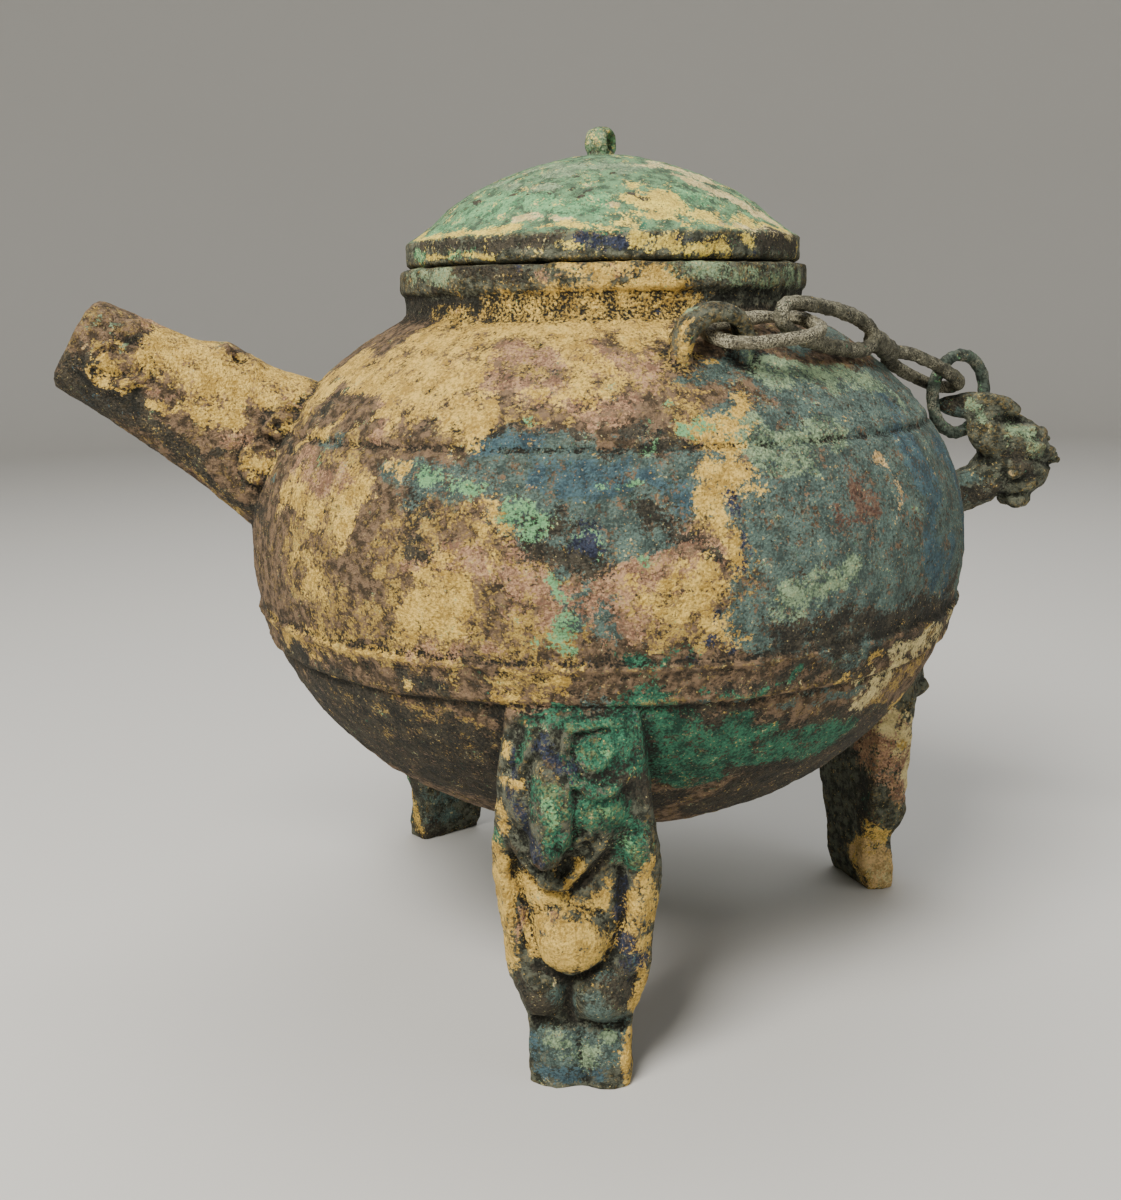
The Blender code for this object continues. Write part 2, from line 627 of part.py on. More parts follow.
def make_vessel(mat):
    vessel = turned("vessel", body_profile(), mat)
    for i, (azimuth, splay) in enumerate(zip(LEG_AZIMUTHS, LEG_SPLAYS)):
        leg = lofted(f"bear_leg_{i + 1}", leg_rings(splay))
        leg.data.transform(Matrix.Rotation(azimuth, 4, "Z"))
        boolean(vessel, leg, "UNION")
    boolean(vessel, lofted("spout_form", spout_rings()), "UNION")
    for hand in (1, -1):
        word = "far" if hand > 0 else "near"
        turn = -0.16 if hand > 0 else math.pi + 0.16
        boss = blob(f"spout_boss_{word}", spout_point(0.312, turn), (BOSS_RADIUS, BOSS_RADIUS, BOSS_RISE),
                    SPOUT_AXIS, SPOUT_OVER, 12, 6)
        boolean(vessel, boss, "UNION")
        boolean(vessel, curl(0.86, 0.0, 0.085, 0.42, hand, f"tip_curl_{word}"), "UNION")
        boolean(vessel, curl(0.29, 0.62, 0.075, 0.30, hand, f"collar_curl_{word}"), "UNION")
    boolean(vessel, lofted("lug_form", lug_rings()), "UNION")
    for part in hook_parts():
        boolean(vessel, part, "UNION")
    boolean(vessel, turned("cavity", cavity_profile()), "DIFFERENCE")
    boolean(vessel, lofted("spout_bore", bore_rings()), "DIFFERENCE")
    return vessel


# Lid

LID_DOME = ((1.0, 0.0), (0.94, 0.08), (0.85, 0.24), (0.776, 0.40), (0.66, 0.57),
            (0.52, 0.72), (0.36, 0.86), (0.18, 0.965), (0.0, 1.0))


def make_lid(mat):
    seat = RIM_TOP + SEAT_GAP
    edge = seat + LID_EDGE_CHAMFER + LID_EDGE_HEIGHT
    lip = MOUTH_RADIUS - LID_LIP_CLEARANCE
    dome = [(LID_RADIUS * r, edge + LID_RISE * z) for r, z in reversed(LID_DOME)]
    profile = dome + [(LID_RADIUS, seat + LID_EDGE_CHAMFER), (LID_RADIUS - LID_EDGE_CHAMFER * 1.5, seat)]
    profile += [(lip, seat), (lip, seat - LID_LIP_DEPTH), (lip - LID_LIP_WIDTH, seat - LID_LIP_DEPTH)]
    inner = lip - LID_LIP_WIDTH
    for share in (1.0, 0.9, 0.7, 0.42):
        z = seat + (edge + LID_RISE - LID_WALL - seat) * math.sqrt(1.0 - share * share)
        profile.append((inner * share, z))
    profile.append((0.0, edge + LID_RISE - LID_WALL))
    lid = turned("lid", profile, mat)
    boolean(lid, lofted("knob_form", knob_rings(edge + LID_RISE), closed=True), "UNION")
    return lid


def knob_rings(apex):
    """A broad ring that stands on the lid's top, half sunk at its foot."""
    axis = Vector((math.cos(KNOB_TURN), math.sin(KNOB_TURN), 0.0))
    across = Vector((-math.sin(KNOB_TURN), math.cos(KNOB_TURN), 0.0))
    centre = Vector((0, 0, apex + KNOB_RADIUS + KNOB_THICKNESS * 0.1))
    rings = []
    for i in range(14):
        turn = 2 * math.pi * i / 14
        away = across * math.cos(turn) + Vector((0, 0, 1)) * math.sin(turn)
        ring = []
        for k in range(8):
            part = 2 * math.pi * (k + 0.5) / 8
            ring.append(centre + away * (KNOB_RADIUS + KNOB_THICKNESS / 2 * math.cos(part))
                        + axis * (KNOB_BREADTH / 2 * math.sin(part)))
        rings.append(ring)
    return rings


def stand_on_origin():
    """Moves everything together, so that the box round the pieces stands centred on the origin."""
    bpy.context.view_layer.update()
    graph = bpy.context.evaluated_depsgraph_get()
    corners = []
    for ob in bpy.data.objects:
        if not ob.hide_render:
            corners += [ob.matrix_world @ Vector(corner) for corner in ob.evaluated_get(graph).bound_box]
    low = Vector([min(corner[i] for corner in corners) for i in range(3)])
    high = Vector([max(corner[i] for corner in corners) for i in range(3)])
    shift = Vector(((low.x + high.x) / 2, (low.y + high.y) / 2, low.z))
    for ob in bpy.data.objects:
        ob.location -= shift


make_vessel(bronze("vessel_bronze", (0.30, 0.27, 0.19)))
make_lid(bronze("lid_bronze", (0.33, 0.40, 0.30)))
chain_link_a(bronze("link_a_bronze", (0.24, 0.21, 0.16)))
chain_link_b(bronze("link_b_bronze", (0.18, 0.16, 0.12)))
chain_ring(bronze("ring_bronze", (0.20, 0.24, 0.19)))
stand_on_origin()
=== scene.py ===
# %% [markdown]
# # A covered bronze ewer on bear legs
# The real object is an old bronze casting that has lain in the ground. It has a round hollow body
# on three legs shaped as sitting bears, a slanting spout, a domed lid, and a short chain that
# runs from a lug on the shoulder to a hook shaped as a beast's head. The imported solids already
# have every size and place. This script gives each piece its true surface: round where the solid
# has facets, carved where the casting is carved, pitted and crusted where the ground has eaten it.

# %% Load the frame
import math

import bpy
import numpy as np
from mathutils import Matrix, Vector, kdtree, noise


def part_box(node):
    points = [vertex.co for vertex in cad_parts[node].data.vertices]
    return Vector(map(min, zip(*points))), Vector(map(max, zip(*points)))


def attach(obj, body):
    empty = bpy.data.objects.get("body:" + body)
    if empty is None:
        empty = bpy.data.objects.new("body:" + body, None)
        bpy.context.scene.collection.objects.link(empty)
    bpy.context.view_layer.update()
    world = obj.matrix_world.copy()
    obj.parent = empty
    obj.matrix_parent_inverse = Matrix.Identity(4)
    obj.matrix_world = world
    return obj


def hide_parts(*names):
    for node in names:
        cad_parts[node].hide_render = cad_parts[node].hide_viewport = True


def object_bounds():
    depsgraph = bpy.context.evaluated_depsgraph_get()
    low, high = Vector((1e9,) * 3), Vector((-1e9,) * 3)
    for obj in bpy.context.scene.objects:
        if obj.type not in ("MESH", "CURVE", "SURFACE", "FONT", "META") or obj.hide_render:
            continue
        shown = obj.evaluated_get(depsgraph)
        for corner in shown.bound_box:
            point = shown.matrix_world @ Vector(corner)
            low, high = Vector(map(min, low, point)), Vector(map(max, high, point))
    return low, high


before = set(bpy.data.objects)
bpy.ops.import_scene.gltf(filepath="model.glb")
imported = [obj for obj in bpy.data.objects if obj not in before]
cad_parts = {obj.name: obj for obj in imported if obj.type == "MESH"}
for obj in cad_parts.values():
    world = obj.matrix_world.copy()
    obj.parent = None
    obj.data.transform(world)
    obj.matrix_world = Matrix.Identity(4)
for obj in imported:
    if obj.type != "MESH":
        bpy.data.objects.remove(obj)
cad_low, cad_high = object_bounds()
print("solids", sorted(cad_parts), "box in mm", [round(v * 1000, 1) for v in cad_high - cad_low])

# %% [markdown]
# The lid is turned about the body's own axis, so the middle of its box tells where that axis
# stands. Every place below is worked out from there.

# %% The body's axis and its main sizes
lid_low, lid_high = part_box("lid")
AXIS = Vector(((lid_low.x + lid_high.x) / 2, (lid_low.y + lid_high.y) / 2, 0.0))

BODY_RADIUS = 0.1015
BELLY_HEIGHT = 0.125
SHOULDER_RISE = 0.0733
BOWL_DROP = 0.084
WALL = 0.0034
NECK_RADIUS = 0.0556
MOUTH_RADIUS = 0.0512
RIM_RADIUS = 0.0570
MM = 0.001


def shell_radius(z):
    """Radius of the round body at a height: two half ellipses that meet at the widest level."""
    half = SHOULDER_RISE if z > BELLY_HEIGHT else BOWL_DROP
    return BODY_RADIUS * math.sqrt(max(0.0, 1.0 - ((z - BELLY_HEIGHT) / half) ** 2))


def on_body(azimuth, height):
    """A place on the body's skin, from its azimuth in degrees and its height in mm."""
    turn = math.radians(azimuth)
    r = shell_radius(height * MM)
    return AXIS + Vector((r * math.cos(turn), r * math.sin(turn), height * MM))


print("axis at", [round(v * 1000, 2) for v in AXIS[:2]], "mm")

# %% [markdown]
# ## Selecting and applying
# Operators act on whatever is selected, and loading the frame leaves its nodes selected. These
# helpers start each step from a clean selection, so that nothing else is changed by accident.

# %% Helpers for selecting, joining and applying


def only(ob):
    """Selects one object alone and makes it the active one."""
    if bpy.context.object and bpy.context.object.mode != "OBJECT":
        bpy.ops.object.mode_set(mode="OBJECT")
    bpy.ops.object.select_all(action="DESELECT")
    ob.select_set(True)
    bpy.context.view_layer.objects.active = ob
    return ob


def named(name):
    """Names the object that the last operator made, and puts its place into its mesh."""
    ob = only(bpy.context.object)
    bpy.ops.object.transform_apply(location=True, rotation=True, scale=True)
    ob.name = name
    ob.data.name = name
    return ob


def joined(name, parts):
    """Joins objects into one, which keeps their meshes where they are."""
    only(parts[0])
    for part in parts[1:]:
        part.select_set(True)
    bpy.ops.object.join()
    return named(name)


def applied(ob, kind, **settings):
    """Adds a modifier, sets it and applies it at once."""
    only(ob)
    modifier = ob.modifiers.new(kind.lower(), kind)
    for key, value in settings.items():
        setattr(modifier, key, value)
    bpy.ops.object.modifier_apply(modifier=modifier.name)
    return ob


def merged_copy(node, name):
    """A copy of a solid whose loose triangles are merged into one skin."""
    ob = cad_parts[node].copy()
    ob.data = ob.data.copy()
    ob.parent = None
    for key in list(ob.keys()):
        del ob[key]
    ob.data.materials.clear()
    bpy.context.scene.collection.objects.link(ob)
    only(ob)
    ob.name = name
    bpy.ops.object.mode_set(mode="EDIT")
    bpy.ops.mesh.select_all(action="SELECT")
    bpy.ops.mesh.remove_doubles(threshold=0.000001)
    bpy.ops.object.mode_set(mode="OBJECT")
    return ob


def remeshed(ob, voxel):
    """Turns overlapping closed forms into one even skin of small squares."""
    only(ob)
    ob.data.remesh_voxel_size = voxel
    bpy.ops.object.voxel_remesh()
    return ob


def points_of(ob):
    """The points of a mesh as rows of x, y and z."""
    places = np.zeros(len(ob.data.vertices) * 3, np.float32)
    ob.data.vertices.foreach_get("co", places)
    return places.reshape(-1, 3).astype(float)


def normals_of(ob):
    normals = np.zeros(len(ob.data.vertices) * 3, np.float32)
    ob.data.vertices.foreach_get("normal", normals)
    return normals.reshape(-1, 3).astype(float)


def put_points(ob, places):
    ob.data.vertices.foreach_set("co", places.astype(np.float32).ravel())
    ob.data.update()


def kept_inside(ob):
    """Brings points that noise has pushed past the solids' box back to it."""
    put_points(ob, np.clip(points_of(ob), np.array(cad_low), np.array(cad_high)))


def smooth_step(value, low, high):
    """0 below low, 1 above high, and an even curve between them."""
    share = np.clip((value - low) / (high - low), 0.0, 1.0)
    return share * share * (3.0 - 2.0 * share)


def said(ob):
    """Prints how fine a piece has become."""
    ob.data.calc_loop_triangles()
    print(ob.name, len(ob.data.loop_triangles), "triangles")
    return ob


# %% [markdown]
# ## Camera, floor and light
# The camera stands a little above the shoulder and looks down at the body. The floor is a plain
# pale disc whose edge curves up into a wall all round, so no edge or corner shows behind the
# bronze from any side. One large soft light from the upper left gives the form, and weaker ones
# keep the shadows open.

# %% Camera
CAMERA_PLACE = AXIS + Vector((-0.0684, -0.3878, 0.188))
CAMERA_HEADING = math.radians(8.03)
CAMERA_PITCH = math.radians(12.12)
CAMERA_ROLL = math.radians(1.094)

bpy.ops.object.select_all(action="DESELECT")
bpy.ops.object.camera_add()
camera = bpy.context.object
camera.name = "camera"
camera.data.lens = 40.5
camera.data.sensor_width = 36.0
camera.data.clip_start = 0.01
camera.data.clip_end = 20.0
camera.matrix_world = (
    Matrix.Translation(CAMERA_PLACE)
    @ Matrix.Rotation(-CAMERA_HEADING, 4, "Z")
    @ Matrix.Rotation(math.pi / 2 - CAMERA_PITCH, 4, "X")
    @ Matrix.Rotation(-CAMERA_ROLL, 4, "Z")
)
bpy.context.scene.camera = camera
print("camera at", [round(v, 3) for v in CAMERA_PLACE])

# %% Floor
FLOOR_RADIUS = 1.7
FLOOR_BEND = 0.6
WALL_RISE = 1.6

bpy.ops.object.select_all(action="DESELECT")
bpy.ops.mesh.primitive_circle_add(vertices=96, radius=FLOOR_RADIUS, fill_type="NGON")
floor = named("floor")
bpy.ops.object.mode_set(mode="EDIT")
bpy.ops.mesh.select_mode(type="EDGE")
bpy.ops.mesh.select_all(action="SELECT")
bend_steps = 10
radius = FLOOR_RADIUS
height = 0.0
for step in range(1, bend_steps + 2):
    turn = math.pi / 2 * min(step, bend_steps) / bend_steps
    wider = FLOOR_RADIUS + FLOOR_BEND * math.sin(turn)
    higher = FLOOR_BEND * (1 - math.cos(turn)) + (WALL_RISE if step > bend_steps else 0.0)
    bpy.ops.mesh.extrude_edges_move(TRANSFORM_OT_translate={"value": (0, 0, higher - height)})
    bpy.ops.transform.resize(value=(wider / radius, wider / radius, 1), center_override=(0, 0, 0))
    radius = wider
    height = higher
bpy.ops.mesh.select_all(action="SELECT")
bpy.ops.mesh.normals_make_consistent(inside=True)
bpy.ops.object.mode_set(mode="OBJECT")
bpy.ops.object.shade_smooth()
print("floor", len(floor.data.polygons), "faces")

# %% Lights


def soft_light(name, place, power, size, colour=(1.0, 1.0, 1.0)):
    """A square area light that faces the middle of the body."""
    bpy.ops.object.select_all(action="DESELECT")
    bpy.ops.object.light_add(type="AREA", location=place)
    light = bpy.context.object
    light.name = name
    light.data.energy = power
    light.data.size = size
    light.data.color = colour
    way = AXIS + Vector((0, 0, 0.12)) - Vector(place)
    light.rotation_euler = way.to_track_quat("-Z", "Y").to_euler()
    return light


soft_light("key", (-0.55, -0.75, 1.05), 29.0, 0.55, (1.0, 0.97, 0.92))
soft_light("fill", (0.95, -0.75, 0.45), 3.0, 0.9, (0.93, 0.97, 1.0))
soft_light("top", (0.15, 0.45, 1.20), 8.0, 0.9)
world = bpy.data.worlds.new("studio")
bpy.context.scene.world = world
world.use_nodes = True
world.node_tree.nodes["Background"].inputs["Color"].default_value = (1.0, 0.98, 0.94, 1.0)
world.node_tree.nodes["Background"].inputs["Strength"].default_value = 0.21

# %% [markdown]
# ## The round body
# A founder sweeps the clay model of such a body with a board cut to its outline. Spinning an
# outline about the axis is the same act, and with many steps it is truly round. The outline runs
# from the mouth over the rim, the neck, the shoulder with its raised line and its groove, the
# widest level, the band with its two ridges, and down round the bowl.

# %% Outline of the body
NECK_FOOT = BELLY_HEIGHT + SHOULDER_RISE * math.sqrt(1.0 - (NECK_RADIUS / BODY_RADIUS) ** 2)
RIM_FOOT = NECK_FOOT + 0.0062
RIM_TOP = RIM_FOOT + 0.0068
SHOULDER_LINE = BELLY_HEIGHT + 0.0398
GROOVE = BELLY_HEIGHT + 0.0320
BAND_TOP = BELLY_HEIGHT - 0.0164
BAND_FOOT = BAND_TOP - 0.0090


def stands_out(z):
    """How far the lines and the band stand out of the plain body at a height, in metres."""
    rise = 0.0005 * math.exp(-((z - SHOULDER_LINE) / 0.0009) ** 2)
    rise -= 0.0011 * math.exp(-((z - GROOVE) / 0.0008) ** 2)
    rise += 0.0003 * math.exp(-((z - GROOVE - 0.0022) / 0.0010) ** 2)
    if BAND_FOOT - 0.0006 < z < BAND_TOP + 0.0006:
        rise += 0.0006
    rise += 0.0008 * math.exp(-((z - BAND_TOP) / 0.0008) ** 2)
    rise += 0.0006 * math.exp(-((z - BAND_FOOT - 0.0006) / 0.0010) ** 2)
    rise -= 0.0006 * math.exp(-((z - BAND_FOOT + 0.0016) / 0.0009) ** 2)
    return rise


def body_outline(step=0.0006):
    """Points of the body's outline, from the mouth's middle to the bowl's middle."""
    rows = [(0.0, RIM_TOP), (RIM_RADIUS - 0.0012, RIM_TOP), (RIM_RADIUS - 0.0003, RIM_TOP - 0.0004)]
    rows += [(RIM_RADIUS, RIM_TOP - 0.0014), (RIM_RADIUS, RIM_FOOT + 0.0010)]
    rows += [(RIM_RADIUS - 0.0004, RIM_FOOT + 0.0002), (NECK_RADIUS + 0.0002, RIM_FOOT - 0.0002)]
    rows += [(NECK_RADIUS, RIM_FOOT - 0.0020), (NECK_RADIUS, NECK_FOOT + 0.0012)]
    z = NECK_FOOT - 0.0006
    while z > BELLY_HEIGHT - BOWL_DROP + 0.0004:
        rows.append((shell_radius(z) + stands_out(z), z))
        z -= step * (0.35 + 0.65 * shell_radius(z) / BODY_RADIUS)
    rows.append((0.0, BELLY_HEIGHT - BOWL_DROP))
    return rows


outline = body_outline()
print("outline", len(outline), "points")

# %% Spin the outline


def spun(name, rows, steps):
    """Spins an outline of (radius, height) rows about the body's axis into a closed skin."""
    mesh = bpy.data.meshes.new(name)
    mesh.from_pydata([(AXIS.x + r, AXIS.y, z) for r, z in rows],
                     [(i, i + 1) for i in range(len(rows) - 1)], [])
    ob = bpy.data.objects.new(name, mesh)
    bpy.context.scene.collection.objects.link(ob)
    only(ob)
    bpy.ops.object.mode_set(mode="EDIT")
    bpy.ops.mesh.select_all(action="SELECT")
    bpy.ops.mesh.spin(steps=steps, angle=2 * math.pi, center=AXIS, axis=(0, 0, 1))
    bpy.ops.mesh.select_all(action="SELECT")
    bpy.ops.mesh.remove_doubles(threshold=0.00001)
    bpy.ops.mesh.normals_make_consistent(inside=False)
    bpy.ops.object.mode_set(mode="OBJECT")
    return ob


round_body = said(spun("round_body", outline, 200))

# %% [markdown]
# ## Legs, spout, lug and hook
# These were cast in one with the body. The solid has them at their true places and sizes, so a
# merged copy of it is united with the round body, and a voxel remesh then melts both into one
# even skin, as the wax model was before casting. A few rounds of smoothing take away the flat
# facets of the copy.

# %% Unite with the solid's legs and fittings
SKIN_VOXEL = 0.00085

vessel = merged_copy("vessel", "vessel_skin")
applied(vessel, "BOOLEAN", operation="UNION", solver="MANIFOLD", object=round_body)
bpy.data.objects.remove(round_body)
remeshed(vessel, SKIN_VOXEL)
applied(vessel, "SMOOTH", factor=0.5, iterations=5)
said(vessel)

# %% [markdown]
# The remesh has softened the groove, the lines and the band. Each point of the skin that still
# lies on the plain body is moved onto the outline again, which makes them crisp. Points on legs
# and fittings lie further off and stay where they are.

# %% Make the turned lines crisp again


def crisp(ob, rows, reach=0.0011):
    """Moves the points that lie near an outline onto it."""
    fine = []
    for (r0, z0), (r1, z1) in zip(rows[2:-1], rows[3:]):
        parts = max(1, int(math.hypot(r1 - r0, z1 - z0) / 0.0002))
        fine += [(r0 + (r1 - r0) * k / parts, z0 + (z1 - z0) * k / parts) for k in range(parts)]
    tree = kdtree.KDTree(len(fine))
    for i, (r, z) in enumerate(fine):
        tree.insert((r, z, 0.0), i)
    tree.balance()
    places = points_of(ob)
    away = places[:, :2] - np.array(AXIS[:2])
    r = np.hypot(away[:, 0], away[:, 1])
    moved = 0
    for i in range(len(places)):
        found, _, far = tree.find((r[i], places[i, 2], 0.0))
        if far < reach:
            keep = min(1.0, max(0.0, (far / reach - 0.6) / 0.4))
            scale = (r[i] * keep + found[0] * (1 - keep)) / max(r[i], 1e-6)
            places[i, 0] = AXIS.x + away[i, 0] * scale
            places[i, 1] = AXIS.y + away[i, 1] * scale
            places[i, 2] = places[i, 2] * keep + found[1] * (1 - keep)
            moved += 1
    put_points(ob, places)
    print("points put back on the outline:", moved, "of", len(places))


crisp(vessel, outline)

# %% [markdown]
# ## The bears
# Each leg is a bear that sits upright with its paws on its belly: brows and round eyes at the
# top, a long snout with a blunt nose, a chest, arms that run down the sides to the knees, a round
# belly, and feet. The relief is deep but worn. It is carved here as a sculptor would: each muscle
# is a soft dome or a ridge, and each crease a groove, pushed into the front of the leg. Places
# across and up are in twentieths of the leg's half width and hundredths of its height.

# %% The bear's carving, in hundredths of the leg's height and twentieths of its half width
LEG_AZIMUTHS = (-105, 12, 118)
LEG_SPLAYS = (-0.0030, 0.0010, 0.0080)
LEG_HEIGHT = BAND_FOOT - 0.0012
LEG_FACE = BODY_RADIUS - 0.0045
UNIT_UP = LEG_HEIGHT / 100
UNIT_SIDE = 0.0200 / 20

BEAR_FRONT = ((0, -1.0), (8, -1.0), (17, -2.5), (22, -1.0), (32, 1.0), (45, 1.0), (58, 1.5),
              (66, 4.0), (78, 6.0), (88, 5.0), (96, 2.5), (100, 1.5))
BEAR_ROUND = ((0, 1.5), (18, 2.0), (28, 4.5), (60, 6.5), (80, 6.5), (92, 4.0), (100, 3.0))
BEAR_HALF = ((0, 12.4), (5, 12.8), (17, 12.6), (21, 13.6), (26, 16.0), (31, 17.8), (40, 18.2),
             (48, 19.4), (57, 20.4), (62, 20.2), (70, 19.0), (83, 17.6), (93, 16.4), (100, 15.4))
# Each dome: middle across and up, half sizes across and up, rise.
BEAR_DOMES = (
    (-1.5, 41.5, 9.4, 9.8, 6.8),
    (-10.6, 25.5, 7.2, 7.4, 4.8),
    (6.2, 25.0, 7.8, 7.8, 5.0),
    (-2.0, 54.0, 9.5, 6.0, 1.6),
    (-1.0, 82.0, 16.0, 18.0, 3.2),
    (-6.0, 65.0, 4.2, 4.6, 4.6),
    (-15.0, 89.5, 3.0, 3.2, 2.2),
    (6.0, 91.2, 4.4, 4.4, 0.8),
    (6.0, 91.2, 1.3, 1.3, 1.2),
    (6.5, 77.5, 6.5, 7.0, 1.8),
    (-13.0, 77.0, 4.5, 7.0, 2.0),
    (12.5, 94.0, 4.5, 4.5, 1.8),
    (-5.8, 92.6, 1.4, 1.4, 1.2),
    (-5.0, 58.6, 2.6, 2.0, 2.2),
    (-6.4, 9.0, 5.8, 11.0, 1.2),
    (6.6, 9.0, 5.8, 11.0, 1.2),
)
# Each ridge: its half width, then its places, each with the rise there.
BEAR_RIDGES = (
    (4.8, (-3.5, 87.0, 3.0), (-5.6, 67.0, 6.4)),
    (2.6, (-0.6, 84.0, 3.0), (-1.8, 70.0, 4.8)),
    (1.5, (-13.0, 97.8, 1.6), (-8.8, 96.8, 2.4), (-9.0, 92.0, 2.4), (-11.2, 86.8, 1.4)),
    (1.4, (12.0, 97.6, 1.6), (0.2, 96.8, 2.2), (-0.9, 91.5, 2.6), (1.6, 85.2, 2.8), (6.0, 82.6, 2.6),
     (10.5, 82.4, 2.2), (13.5, 86.0, 1.2)),
    (1.4, (-15.6, 70.5, 2.2), (-11.6, 61.5, 3.0), (-7.4, 57.0, 3.4), (-2.8, 56.4, 3.2), (2.0, 61.5, 2.8),
     (7.4, 67.8, 1.8)),
    (1.0, (-13.6, 70.0, 1.8), (-8.6, 61.0, 2.2)),
    (1.0, (0.0, 61.8, 0.7), (5.4, 68.6, 0.5)),
    (1.0, (1.6, 69.6, 1.6), (4.6, 71.6, 2.0), (6.0, 68.2, 1.4)),
    (3.8, (-17.6, 66.0, 2.4), (-18.4, 52.0, 3.6), (-16.0, 37.0, 2.8), (-10.5, 33.0, 1.4)),
    (4.0, (16.2, 66.0, 2.4), (16.6, 50.0, 3.6), (13.6, 36.0, 2.6), (9.6, 33.6, 1.4)),
    (1.2, (-16.3, 60.5, 1.0), (-13.5, 49.0, 1.4), (-9.2, 34.5, 1.2)),
)
# Each groove: its half width, then its places, each with the depth there.
BEAR_GROOVES = (
    (1.1, (-14.6, 60.0, 1.6), (-12.0, 48.0, 1.8), (-8.2, 33.8, 1.6)),
    (1.3, (10.6, 60.0, 1.8), (11.2, 46.0, 2.0), (8.0, 34.0, 1.6)),
    (1.2, (-8.5, 35.0, 1.6), (-1.5, 31.2, 2.4), (6.5, 35.0, 1.6)),
    (1.4, (-2.2, 31.0, 2.4), (-2.0, 17.0, 1.8)),
    (1.2, (-12.0, 17.0, 1.2), (12.0, 17.0, 1.2)),
    (1.4, (1.0, 4.0, 1.2), (1.2, 0.0, 2.0)),
    (0.9, (0.2, 14.0, 0.8), (0.8, 3.0, 1.2)),
    (1.1, (-15.0, 63.0, 1.2), (-7.8, 54.6, 1.8), (-1.4, 54.0, 1.8), (9.4, 65.8, 1.2)),
    (0.8, (-9.8, 66.0, 0.8), (-6.4, 61.4, 1.0), (-1.6, 64.0, 0.8)),
)
# Each ring: its middle, radius, half width and rise.
BEAR_RINGS = (
    (6.0, 91.2, 3.3, 0.8, 0.7),
    (6.0, 91.2, 5.0, 1.1, -0.35),
    (-15.0, 89.5, 3.6, 0.8, -0.8),
)


def off_line(side, up, start, end):
    """Distance of each place from a short line, and how far along the line it lies."""
    dx, dz = end[0] - start[0], end[1] - start[1]
    along = ((side - start[0]) * dx + (up - start[1]) * dz) / max(dx * dx + dz * dz, 1e-9)
    along = np.clip(along, 0.0, 1.0)
    return np.hypot(side - start[0] - dx * along, up - start[1] - dz * along), along


def along_rows(side, up, rows, shape):
    """The tallest of some ridges or grooves at each place."""
    best = np.zeros_like(side)
    for width, *places in rows:
        for (x0, z0, first), (x1, z1, last) in zip(places, places[1:]):
            off, along = off_line(side, up, (x0, z0), (x1, z1))
            best = np.maximum(best, (first + (last - first) * along) * shape(off / width))
    return best


def relief_at(side, up, domes, ridges, grooves, rings):
    """How far a carved face stands out at each place."""
    rise = np.zeros_like(side)
    for cx, cz, rx, rz, tall in domes:
        rise += tall * np.clip(1.0 - ((side - cx) / rx) ** 2 - ((up - cz) / rz) ** 2, 0.0, None) ** 0.8
    for cx, cz, radius, width, tall in rings:
        off = (np.hypot(side - cx, up - cz) - radius) / width
        rise += tall * np.exp(-off * off)
    rise += along_rows(side, up, ridges, lambda off: np.clip(1.0 - off * off, 0.0, None) ** 0.8)
    return rise - along_rows(side, up, grooves, lambda off: np.exp(-off * off))


# %% Carve the three legs


def carve_bear(ob, azimuth, splay):
    """Pushes the front of one leg to the carved shape."""
    turn = math.radians(azimuth)
    out = np.array([math.cos(turn), math.sin(turn), 0.0])
    across = np.array([-math.sin(turn), math.cos(turn), 0.0])
    places = points_of(ob)
    normals = normals_of(ob)
    away = places - np.array(AXIS)
    side = away @ across / UNIT_SIDE
    up = places[:, 2] / UNIT_UP
    reach = away @ out
    half = np.interp(up, *zip(*BEAR_HALF))
    front = np.interp(up, *zip(*BEAR_FRONT))
    fall = np.interp(up, *zip(*BEAR_ROUND))
    share = side / half
    base = LEG_FACE + splay * (1.0 - up / 100)
    bear = relief_at(side, up, BEAR_DOMES, BEAR_RIDGES, BEAR_GROOVES, BEAR_RINGS)
    wanted = base + (front + bear - fall * share * share) * UNIT_UP
    facing = smooth_step(normals @ out, 0.15, 0.5)
    inside = 1.0 - smooth_step(np.abs(share), 0.80, 0.97)
    level = smooth_step(up, -1.0, 1.5) * (1.0 - smooth_step(up, 97.0, 101.0))
    here = (np.abs(reach - wanted) < 0.006) & (reach > base - 0.006)
    weight = facing * inside * level * here
    places += np.outer((wanted - reach) * weight, out)
    put_points(ob, places)
    print("bear at", azimuth, "carved", int((weight > 0.5).sum()), "points")


for azimuth, splay in zip(LEG_AZIMUTHS, LEG_SPLAYS):
    carve_bear(vessel, azimuth, splay)

# %% [markdown]
# ## The ornament on the spout
# The spout is a beast's neck. Both sides have a long curl at the tip with a lumpy mass above it,
# a folded ear on the top, a scalloped collar where the neck leaves the body, and below the collar
# a round boss with a raised rim. The places are in mm from the body's axis and from the ground.

